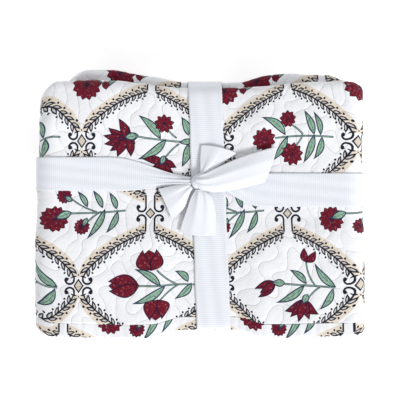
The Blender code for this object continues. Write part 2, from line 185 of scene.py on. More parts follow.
def strip_path():
    """The spiral, from the outer end on the back to the core. Returns x, z, heading, walked."""
    wall_x = BUNDLE_WIDTH / 2 - STRIP_THICKNESS / 2
    inner_wall_x = wall_x - TURN_PITCH
    outer, inner = OUTER_CORNER_RADIUS, INNER_CORNER_RADIUS
    quarter = -math.pi / 2
    line = Line(FLAP_END_X, STRIP_THICKNESS / 2, math.pi)
    line.run(FLAP_END_X + wall_x - outer, 0.010)
    line.bend(outer, quarter, 0.0026)
    line.run(4 * TURN_PITCH - 2 * outer, 0.0035)
    line.bend(outer, quarter, 0.0022)
    face_start = line.rows[-1][3]
    line.run(2 * (wall_x - outer), 0.0021)
    face_end = line.rows[-1][3]
    line.bend(outer, quarter, 0.0022)
    line.run(3 * TURN_PITCH - 2 * outer, 0.0035)
    line.bend(outer, quarter, 0.0030)
    line.run(wall_x - outer + inner_wall_x - inner, 0.012)
    line.bend(inner, quarter, 0.004)
    line.run(2 * TURN_PITCH - 2 * inner, 0.006)
    line.bend(inner, quarter, 0.004)
    line.run(2 * inner_wall_x - inner - TURN_PITCH / 2, 0.0055)
    line.bend(TURN_PITCH / 2, 2 * quarter, 0.006)
    line.run(inner_wall_x - TURN_PITCH / 2 - CORE_END_X, 0.014)
    return line.table(), face_start, face_end


def ply_line(face_spacing, hidden_spacing, bend_spacing):
    """The ply's middle line, from its outer bound edge. Returns y, n, heading, walked."""
    fold_y = FACE_TOP_Y - STRIP_THICKNESS / 2
    near_y = NEAR_EDGE_Y + NEAR_FOLD_INSET
    seam_y = NEAR_EDGE_Y + BINDING_DEPTH
    line = Line(seam_y, 1.5 * PLY_STEP, 0.0)
    line.run(fold_y - seam_y, face_spacing)
    line.bend(1.5 * PLY_STEP, -math.pi, bend_spacing)
    line.run(fold_y - near_y, hidden_spacing)
    line.bend(PLY_STEP / 2, -math.pi, bend_spacing * 2)
    line.run(fold_y - near_y, hidden_spacing * 1.6)
    line.bend(PLY_STEP / 2, math.pi, bend_spacing * 2)
    line.run(fold_y - seam_y, hidden_spacing * 1.6)
    return line.table()


path, face_start, face_end = strip_path()
face_side = ply_line(0.0024, 0.014, 0.0023)
back_side = ply_line(0.022, 0.030, 0.006)
print(len(path), "stops on the path, and", len(face_side) + len(back_side), "round the ply")

# %% [markdown]
# ## From the square fold to the tied, soft bundle
# The same settling as in the part: the face dips and the back lifts under the sash, the far and
# near edges droop, the bundle tapers a little to the far side, and the inner turns' far folds are
# drawn in at the sash. Slow waves are added on top, so that no edge is quite straight, and nothing
# goes below the floor.

# %% Settling


def under_band(offset, half_width):
    """1 under a band and 0 at BAND_RAMP from its edge, with a smooth step between."""
    return 1.0 - smooth_step(np.abs(offset), half_width, half_width + BAND_RAMP)


def settle(x, y, z):
    """Where a point of the square fold stands in the tied bundle."""
    along = under_band(x - LONG_BAND_X, LONG_BAND_WIDTH / 2 + BAND_SHOULDER)
    across = under_band(y - CROSS_BAND_Y, CROSS_BAND_WIDTH / 2 + 0.0165)
    banded = 1.0 - (1.0 - along) * (1.0 - across)
    height = np.clip(z / BUNDLE_HEIGHT, 0.0, 1.0)
    droop_far = np.clip((y - 0.095) / 0.060, 0.0, 1.0) ** 2
    droop_near = np.clip((-y - 0.120) / 0.045, 0.0, 1.0) ** 2
    lift = (SASH_THICKNESS + PIECE_GAP) * (banded + along * across) * (1.0 - height) ** 2
    drop = (BAND_DIP * banded + EDGE_DROOP * (droop_far + 0.4 * droop_near)) * height**3
    soft = SLOW_RISE * wave_field(x, y, 0.085, seed=11) * (1.0 - banded) * height**4
    far_reach = LONG_BAND_WIDTH / 2 + BAND_SHOULDER
    drawn = 1.0 - smooth_step(np.abs(x - LONG_BAND_X), far_reach, far_reach + CINCH_FAR_RAMP)
    new_y = y - drawn * CINCH_FAR * smooth_step(y, 0.040, 0.165)
    new_y = new_y + along * CINCH_NEAR * smooth_step(-y, 0.060, 0.165)
    edge_wave = EDGE_WANDER * wave_field(x, 3.0 * z, 0.11, seed=23)
    edge_wave = edge_wave * smooth_step(np.abs(y), 0.09, 0.16) * (1.0 - along)
    new_y = new_y + edge_wave * (0.4 + 0.6 * height)
    taper = TAPER_TO_FAR_SIDE * smooth_step(y, 0.010, 0.150) * np.where(x < 0, 1.0, RIGHT_SHARE)
    taper = taper + WAIST_AT_CROSS_BAND * across
    new_x = x - x / (BUNDLE_WIDTH / 2) * taper
    new_z = np.maximum(z + lift - drop + soft, 0.0)
    return np.stack([new_x, new_y, new_z], axis=-1)


def swept_places(path, y, n):
    """Places of a grid of y, n, with one row for each stop on the path."""
    x, z, heading, walked = (column[:, None] for column in path.T)
    shift = INNER_TURN_SHIFT_Y * smooth_step(walked, face_end, face_end + 0.085)
    reach = LONG_BAND_WIDTH / 2 + BAND_SHOULDER
    drawn_in = 1.0 - CINCH_INNER_TURNS * under_band(x - LONG_BAND_X, reach)
    at_left = 1.0 + 0.40 * smooth_step(-x, 0.070, 0.120) - 1.00 * smooth_step(-x, 0.145, 0.178)
    drawn_in = drawn_in * at_left * (1.0 - 0.4 * x)
    tuck = 1.0 - CORNER_TUCK * np.sin(heading) ** 2 * np.where(x < 0, 1.0, RIGHT_SHARE)
    middle_y = (FACE_TOP_Y + NEAR_EDGE_Y) / 2
    at_y = middle_y + (y - middle_y) * tuck + shift * drawn_in
    return settle(x - np.sin(heading) * n, at_y, z + np.cos(heading) * n)


print("under the sash the face dips by", BAND_DIP * 1000, "mm")

# %% [markdown]
# ## Making a mesh from a grid
# Every piece of cloth here is a grid of places, so one helper makes them all: it joins
# neighbouring stops with four-sided faces, keeps the flat cloth's own u, v in metres as the map
# that the print and the weave follow, and can carry one more number per point.

# %% Grid to mesh


def grid_faces(rows, columns, closed_rows=False, closed_columns=False):
    """Quads between neighbouring rows and columns, as an array of four indices each."""
    r = np.arange(rows if closed_rows else rows - 1)[:, None]
    c = np.arange(columns if closed_columns else columns - 1)[None, :]
    r2, c2 = (r + 1) % rows, (c + 1) % columns
    corners = [r * columns + c, r2 * columns + c, r2 * columns + c2, r * columns + c2]
    return np.stack(corners, axis=-1).reshape(-1, 4)


def mesh_object(name, places, faces, uv, materials, face_material=None, extra=None):
    """An object of these places and faces, with the map Cloth and an optional point attribute."""
    mesh = bpy.data.meshes.new(name)
    mesh.from_pydata(places.tolist(), [], [list(f) for f in faces])
    mesh.update()
    corners = np.empty(len(mesh.loops), np.int32)
    mesh.loops.foreach_get("vertex_index", corners)
    layer = mesh.uv_layers.new(name="Cloth")
    layer.data.foreach_set("uv", uv[corners].astype(np.float32).ravel())
    for key, values in (extra or {}).items():
        attribute = mesh.attributes.new(key, "FLOAT", "POINT")
        attribute.data.foreach_set("value", values.astype(np.float32))
    for material in materials:
        mesh.materials.append(material)
    if face_material is not None:
        mesh.polygons.foreach_set("material_index", np.asarray(face_material, np.int32))
    mesh.shade_smooth()
    made = bpy.data.objects.new(name, mesh)
    bpy.context.scene.collection.objects.link(made)
    return made


def cap_faces(left, right, left_walked, right_walked):
    """Triangles that close the end between two rows of points, walked side by side."""
    faces, i, j = [], 0, 0
    while i < len(left) - 1 or j < len(right) - 1:
        step_left = j == len(right) - 1 or (
            i < len(left) - 1 and left_walked[i + 1] <= right_walked[j + 1]
        )
        if step_left:
            faces.append((left[i], right[j], left[i + 1]))
            i += 1
        else:
            faces.append((left[i], right[j], right[j + 1]))
            j += 1
    return faces


def linear(red, green, blue):
    """A screen colour from 0 to 255 as the light that it stands for, by the sRGB curve."""
    share = np.array([red, green, blue]) / 255.0
    light = np.where(share <= 0.04045, share / 12.92, ((share + 0.055) / 1.055) ** 2.4)
    return (*light.tolist(), 1.0)


# %% [markdown]
# ## Drawing a print with shader nodes
# The print is drawn from its shapes, in millimetres on the flat cloth, so it stays sharp at any
# distance. A small helper adds one node at a time. Each shape is a node group: it takes a point
# and the colour under it, and gives back the colour with the shape laid on top. A clamp is a node
# of its own. With the math nodes' own clamp switched on, a print of this many shapes overran the
# renderer's small store for values and came out black.

# %% A helper that draws node trees


class Drawing:
    """A node tree being drawn: each call adds one node and gives back what comes out of it."""

    def __init__(self, tree):
        self.tree = tree

    def node(self, kind, settings, inputs):
        """A new node with these settings. An input is a number, or what comes out of a node."""
        made = self.tree.nodes.new(kind)
        for key, value in settings.items():
            setattr(made, key, value)
        for key, value in inputs.items():
            if isinstance(value, bpy.types.NodeSocket):
                self.tree.links.new(value, made.inputs[key])
            else:
                made.inputs[key].default_value = value
        return made

    def math(self, operation, *values, clamped=False):
        """One operation on the values, kept from 0 to 1 where clamped."""
        inputs = dict(enumerate(values))
        found = self.node("ShaderNodeMath", {"operation": operation}, inputs).outputs[0]
        return self.node("ShaderNodeClamp", {}, {0: found}).outputs[0] if clamped else found

    def noise(self, inputs):
        """Smooth random patches from 0 to 1 over the flat cloth."""
        return self.node("ShaderNodeTexNoise", {"noise_dimensions": "2D"}, inputs).outputs[0]

    def length(self, x, y):
        """The square root of x squared plus y squared."""
        return self.math("SQRT", self.math("MULTIPLY_ADD", x, x, self.math("MULTIPLY", y, y)))

    def turned(self, given):
        """X and Y measured from At X and At Y, along axes turned by Turn."""
        x = self.math("SUBTRACT", given["X"], given["At X"])
        y = self.math("SUBTRACT", given["Y"], given["At Y"])
        cosine = self.math("COSINE", given["Turn"])
        sine = self.math("SINE", given["Turn"])
        along = self.math("MULTIPLY_ADD", x, cosine, self.math("MULTIPLY", y, sine))
        across = self.math("MULTIPLY", y, cosine)
        across = self.math("SUBTRACT", across, self.math("MULTIPLY", x, sine))
        return along, across

    def inside(self, distance, soft=0.3):
        """1 inside a line and 0 outside it, from the distance past the line in millimetres."""
        return self.math("MULTIPLY_ADD", distance, -1.0 / soft, 0.5, clamped=True)

    def mix(self, share, below, above):
        """The colour below, with this share of the colour above."""
        inputs = {0: share, 6: below, 7: above}
        return self.node("ShaderNodeMix", {"data_type": "RGBA"}, inputs).outputs[2]

    def use(self, group, inputs):
        """What comes out of a node group with these inputs."""
        return self.node("ShaderNodeGroup", {"node_tree": group}, inputs).outputs[0]


def new_group(name, inputs, output):
    """An empty group. Inputs are name: socket type, and output is (name, socket type)."""
    tree = bpy.data.node_groups.new(name, "ShaderNodeTree")
    for key, kind in inputs.items():
        tree.interface.new_socket(key, in_out="INPUT", socket_type="NodeSocket" + kind)
    tree.interface.new_socket(output[0], in_out="OUTPUT", socket_type="NodeSocket" + output[1])
    given = tree.nodes.new("NodeGroupInput").outputs
    result = tree.nodes.new("NodeGroupOutput").inputs[0]
    return Drawing(tree), given, result


# %% [markdown]
# ## Leaves, stems and flowers
# A leaf is a lens: its half width is a parabola of the distance along it, and it may be bent along
# its length. A stem is a thin bent bar. A flower is one such petal repeated round its middle.

# %% Shapes of the print
WHITE = linear(240, 241, 245)
CRIMSON = linear(116, 6, 32)
PLUM = linear(48, 12, 44)
GREEN = linear(146, 184, 158)
DARK_GREEN = linear(38, 54, 80)
NAVY = linear(22, 25, 42)
BEIGE = linear(225, 214, 199)
CLASP_BEIGE = linear(208, 198, 184)
VINE_GREY = linear(196, 194, 192)
VEIN_HALF_WIDTH = 0.36
SHAPE_INPUTS = {"X": "Float", "Y": "Float", "Under": "Color"}
SHAPE_INPUTS.update({"At X": "Float", "At Y": "Float", "Turn": "Float", "Ink": "Float"})
SHAPE_INPUTS.update({"Shade": "Float", "Shine": "Float"})


def lay_on(draw, given, result, distance, vein):
    """Mottled fill inside the line, and ink along it, of the half width Ink, and on the vein."""
    fill = draw.mix(given["Shade"], given["Fill"], given["Line"])
    fill = draw.mix(given["Shine"], fill, WHITE)
    filled = draw.mix(draw.inside(distance), given["Under"], fill)
    outline = draw.inside(draw.math("SUBTRACT", draw.math("ABSOLUTE", distance), given["Ink"]))
    inked = draw.math("MAXIMUM", outline, vein)
    draw.tree.links.new(draw.mix(inked, filled, given["Line"]), result)


def leaf_group():
    """s = |y - bend (1 - t^2)| - width (1 - t^2) (1.1 - 0.35 t), with t = x / length to +-1.4."""
    inputs = {**SHAPE_INPUTS, "Length": "Float", "Width": "Float", "Bend": "Float"}
    inputs.update({"Vein": "Float", "Fill": "Color", "Line": "Color"})
    draw, given, result = new_group("leaf", inputs, ("Colour", "Color"))
    x, y = draw.turned(given)
    t = draw.math("DIVIDE", x, given["Length"])
    t = draw.math("MINIMUM", draw.math("MAXIMUM", t, -1.4), 1.4)
    arch = draw.math("SUBTRACT", 1.0, draw.math("MULTIPLY", t, t))
    bent = draw.math("MULTIPLY", given["Bend"], arch)
    off = draw.math("ABSOLUTE", draw.math("SUBTRACT", y, bent))
    taper = draw.math("MULTIPLY_ADD", t, -0.35, 1.1)
    half = draw.math("MULTIPLY", draw.math("MULTIPLY", given["Width"], arch), taper)
    distance = draw.math("SUBTRACT", off, half)
    rib = draw.inside(draw.math("SUBTRACT", off, VEIN_HALF_WIDTH))
    rib = draw.math("MULTIPLY", rib, draw.inside(distance))
    lay_on(draw, given, result, distance, draw.math("MULTIPLY", rib, given["Vein"]))
    return draw.tree


def stem_group():
    """s = max(|y - bend (1 - t^2)| - width, |x| - length), with t = x / length."""
    inputs = {**SHAPE_INPUTS, "Length": "Float", "Width": "Float", "Bend": "Float"}
    inputs.update({"Fill": "Color", "Line": "Color"})
    draw, given, result = new_group("stem", inputs, ("Colour", "Color"))
    x, y = draw.turned(given)
    t = draw.math("DIVIDE", x, given["Length"])
    arch = draw.math("SUBTRACT", 1.0, draw.math("MULTIPLY", t, t))
    bent = draw.math("MULTIPLY", given["Bend"], arch)
    off = draw.math("ABSOLUTE", draw.math("SUBTRACT", y, bent))
    past = draw.math("SUBTRACT", draw.math("ABSOLUTE", x), given["Length"])
    distance = draw.math("MAXIMUM", draw.math("SUBTRACT", off, given["Width"]), past)
    lay_on(draw, given, result, distance, 0.0)
    return draw.tree


def flower_group():
    """|off| - width (1 - t^2) (1 + t / 4), t = 2 along / radius - 1, in each of n sectors."""
    inputs = {**SHAPE_INPUTS, "Radius": "Float", "Petals": "Float", "Width": "Float"}
    inputs.update({"Heart": "Float", "Core": "Float", "Fill": "Color", "Line": "Color"})
    draw, given, result = new_group("flower", inputs, ("Colour", "Color"))
    x, y = draw.turned(given)
    out = draw.length(x, y)
    sector = draw.math("DIVIDE", math.pi, given["Petals"])
    angle = draw.math("ARCTAN2", y, x)
    angle = draw.math("WRAP", angle, sector, draw.math("MULTIPLY", sector, -1.0))
    along = draw.math("MULTIPLY", out, draw.math("COSINE", angle))
    off = draw.math("ABSOLUTE", draw.math("MULTIPLY", out, draw.math("SINE", angle)))
    half_radius = draw.math("MULTIPLY", given["Radius"], 0.5)
    t = draw.math("SUBTRACT", draw.math("DIVIDE", along, half_radius), 1.0)
    t = draw.math("MINIMUM", t, 1.4)
    arch = draw.math("SUBTRACT", 1.0, draw.math("MULTIPLY", t, t))
    taper = draw.math("MULTIPLY_ADD", t, 0.25, 1.0)
    half = draw.math("MULTIPLY", draw.math("MULTIPLY", given["Width"], arch), taper)
    core = draw.math("SUBTRACT", out, draw.math("MULTIPLY", given["Radius"], given["Core"]))
    distance = draw.math("MINIMUM", draw.math("SUBTRACT", off, half), core)
    side = draw.math("SUBTRACT", sector, draw.math("ABSOLUTE", angle))
    between = draw.inside(draw.math("SUBTRACT", draw.math("MULTIPLY", side, out), 0.28))
    between = draw.math("MULTIPLY", between, draw.inside(distance))
    heart = draw.inside(draw.math("SUBTRACT", out, given["Heart"]))
    lay_on(draw, given, result, distance, draw.math("MAXIMUM", between, heart))
    return draw.tree


SHAPES = {"leaf": leaf_group(), "stem": stem_group(), "flower": flower_group()}
print("shapes to draw with:", ", ".join(SHAPES))

# %% [markdown]
# ## The vine lattice
# Leafy vines frame each spray in a pointed oval. In one quarter of the oval the vine follows two
# arcs that meet with one tangent: a long flat one from the oval's peak, and a short round one down
# to its side. Distance from an arc is the distance from its centre less its radius, so leaves in
# pairs, dots and the warm band beside the vine can be laid along it without distortion. The leaves
# stand closer together towards the peak: their even pitch is laid along walk (1 - walk / 408).
# A diamond clasp with four hooks joins the vines at each peak and at each side.

# %% The vine lattice
REPEAT_X = 174.5
REPEAT_Y = 177.8
OVAL_X = -61.75
OVAL_Y = 78.7
ROUND_CENTRE = (51.5, 88.9)
ROUND_RADIUS = 31.6
FLAT_RADIUS = 178.0
FLAT_CENTRE = (
    ROUND_CENTRE[0] - (FLAT_RADIUS - ROUND_RADIUS) * math.sqrt(0.5),
    ROUND_CENTRE[1] + (FLAT_RADIUS - ROUND_RADIUS) * math.sqrt(0.5),
)
LEAF_PITCH = 11.0
LEAF_HALF_LENGTH = 5.0
LEAF_SLOPE = math.radians(25)
VINE_STOPS_BELOW_MIDDLE = 10.5
VINE_STOPS_BESIDE_PEAK = 5.2
LEAVES_STOP_BESIDE_PEAK = 6.5
OUT_OF_SIGHT = 60.0
HOOK_MIDDLE = (10.8, 7.6)
HOOK_RADIUS = 5.4
HOOK_HALF_WIDTH = 1.25
BALL_MIDDLE = (14.7, 8.0)
BALL_RADIUS = 2.5
SHANK_X = 5.4
SHANK_HALF_WIDTH = 1.1


def folded(draw, value, middle, repeat):
    """Distance from the nearest of the places middle + k * repeat."""
    off = draw.math("SUBTRACT", value, middle)
    return draw.math("ABSOLUTE", draw.math("WRAP", off, repeat / 2, -repeat / 2))


def vine_group():
    """Lays the warm band, leaf pairs, dots and stem along the two arcs of every quarter oval."""
    inputs = {"U": "Float", "V": "Float", "Under": "Color"}
    draw, given, result = new_group("vine", inputs, ("Colour", "Color"))
    across = folded(draw, given["U"], OVAL_X, REPEAT_X)
    up = draw.math("SUBTRACT", REPEAT_Y / 2, folded(draw, given["V"], OVAL_Y, REPEAT_Y))
    round_x = draw.math("SUBTRACT", across, ROUND_CENTRE[0])
    round_y = draw.math("SUBTRACT", up, ROUND_CENTRE[1])
    flat_x = draw.math("SUBTRACT", across, FLAT_CENTRE[0])
    flat_y = draw.math("SUBTRACT", up, FLAT_CENTRE[1])
    on_round = draw.math("GREATER_THAN", draw.math("ADD", round_x, round_y), 0.0)
    off_round = draw.math("SUBTRACT", draw.length(round_x, round_y), ROUND_RADIUS)
    off_flat = draw.math("SUBTRACT", draw.length(flat_x, flat_y), FLAT_RADIUS)
    turn_round = draw.math("ADD", draw.math("ARCTAN2", round_y, round_x), math.pi / 4)
    turn_flat = draw.math("ADD", draw.math("ARCTAN2", flat_y, flat_x), math.pi / 4)
    walk_round = draw.math("MULTIPLY", turn_round, ROUND_RADIUS)
    walk_flat = draw.math("MULTIPLY", turn_flat, FLAT_RADIUS)
    pick = {"data_type": "FLOAT"}
    off = draw.node("ShaderNodeMix", pick, {0: on_round, 2: off_flat, 3: off_round}).outputs[0]
    walk = draw.node("ShaderNodeMix", pick, {0: on_round, 2: walk_flat, 3: walk_round}).outputs[0]
    reaches = draw.inside(draw.math("SUBTRACT", up, REPEAT_Y / 2 - VINE_STOPS_BELOW_MIDDLE))
    beside = draw.inside(draw.math("SUBTRACT", VINE_STOPS_BESIDE_PEAK, across))
    reaches = draw.math("MULTIPLY", reaches, beside)
    half = draw.math("MULTIPLY_ADD", walk, -0.12, 4.8)
    half = draw.math("MINIMUM", draw.math("MAXIMUM", half, 2.0), 5.5)
    halo = draw.math("SUBTRACT", draw.math("ABSOLUTE", draw.math("SUBTRACT", off, half)), half)
    colour = draw.mix(draw.math("MULTIPLY", draw.inside(halo, 1.6), reaches), given["Under"], BEIGE)
    side = draw.math("ABSOLUTE", off)
    shorter = draw.math("MULTIPLY_ADD", walk, -0.00245, 1.0)
    paced = draw.math("MULTIPLY", walk, shorter)
    leafy = draw.math("SUBTRACT", draw.math("ABSOLUTE", draw.math("ADD", paced, 44.0)), 58.0)
    leafy = draw.inside(leafy)
    beside = draw.inside(draw.math("SUBTRACT", LEAVES_STOP_BESIDE_PEAK, across))
    leafy = draw.math("MULTIPLY", leafy, beside)
    far_out = draw.math("ADD", side, OUT_OF_SIGHT)
    out = draw.math("MULTIPLY_ADD", leafy, -OUT_OF_SIGHT, far_out)
    lean = draw.math("MULTIPLY", out, 1.0 / math.tan(LEAF_SLOPE))
    along = draw.math("WRAP", draw.math("SUBTRACT", paced, lean), LEAF_PITCH / 2, -LEAF_PITCH / 2)
    along = draw.math("ADD", along, lean)
    leaf = {"X": along, "Y": out, "Under": colour, "Turn": LEAF_SLOPE}
    leaf.update({"Length": LEAF_HALF_LENGTH, "Width": 1.7})
    leaf["At X"] = 5.2 * math.cos(LEAF_SLOPE) + 1.2
    leaf["At Y"] = 5.2 * math.sin(LEAF_SLOPE) + 0.6
    leaf.update({"Vein": 0.0, "Bend": 0.0, "Fill": VINE_GREY, "Line": NAVY, "Ink": 0.9})
    leaf.update({"Shade": 0.0, "Shine": 0.0})
    colour = draw.use(SHAPES["leaf"], leaf)
    dot = draw.length(draw.math("SUBTRACT", along, 13.6), draw.math("SUBTRACT", out, 7.2))
    colour = draw.mix(draw.inside(draw.math("SUBTRACT", dot, 1.5)), colour, NAVY)
    stem = draw.math("MULTIPLY", draw.inside(draw.math("SUBTRACT", side, 0.95)), reaches)
    colour = draw.mix(stem, colour, NAVY)
    draw.tree.links.new(colour, result)
    return draw.tree


def clasp_group():
    """Diamond |x| / wide + |y| / high = 1, and a hook with a ball at its tip in each corner."""
    inputs = {"X": "Float", "Y": "Float", "Under": "Color", "Wide": "Float", "High": "Float"}
    inputs.update({"Reach": "Float"})
    draw, given, result = new_group("clasp", inputs, ("Colour", "Color"))
    x = draw.math("ABSOLUTE", given["X"])
    y = draw.math("ABSOLUTE", given["Y"])
    ratio = draw.math("DIVIDE", x, given["Wide"])
    ratio = draw.math("ADD", ratio, draw.math("DIVIDE", y, given["High"]))
    distance = draw.math("MULTIPLY", draw.math("SUBTRACT", ratio, 1.0), 4.2)
    colour = draw.mix(draw.inside(distance), given["Under"], CLASP_BEIGE)
    outline = draw.math("SUBTRACT", draw.math("ABSOLUTE", distance), 0.8)
    ring = draw.math("SUBTRACT", x, HOOK_MIDDLE[0])
    ring = draw.length(ring, draw.math("SUBTRACT", y, HOOK_MIDDLE[1]))
    ring = draw.math("ABSOLUTE", draw.math("SUBTRACT", ring, HOOK_RADIUS))
    ring = draw.math("SUBTRACT", ring, HOOK_HALF_WIDTH)
    hook = draw.math("MAXIMUM", ring, draw.math("SUBTRACT", y, BALL_MIDDLE[1]))
    ball = draw.math("SUBTRACT", x, BALL_MIDDLE[0])
    ball = draw.length(ball, draw.math("SUBTRACT", y, BALL_MIDDLE[1]))
    hook = draw.math("MINIMUM", hook, draw.math("SUBTRACT", ball, BALL_RADIUS))
    shank = draw.math("ABSOLUTE", draw.math("SUBTRACT", x, SHANK_X))
    shank = draw.math("SUBTRACT", shank, SHANK_HALF_WIDTH)
    span = draw.math("SUBTRACT", 7.5, y)
    span = draw.math("MAXIMUM", span, draw.math("SUBTRACT", y, given["Reach"]))
    hook = draw.math("MINIMUM", hook, draw.math("MAXIMUM", shank, span))
    ink = draw.inside(draw.math("MINIMUM", outline, hook))
    draw.tree.links.new(draw.mix(ink, colour, NAVY), result)
    return draw.tree


SHAPES["vine"] = vine_group()
SHAPES["clasp"] = clasp_group()
print("the lattice repeats every", REPEAT_X, "by", REPEAT_Y, "mm")

# %% [markdown]
# ## The sprays
# Six sprays take turns in the lattice, all with their stems to the right: dahlias, star flowers,
# tulips and bells in the ovals, and carnations and poppies in the spaces between. Rows are in
# millimetres from the middle of the space: a leaf or stem from its base to its tip, its half width
# and its bend, or a flower's middle, radius, petals, petal half width, heart and turn.

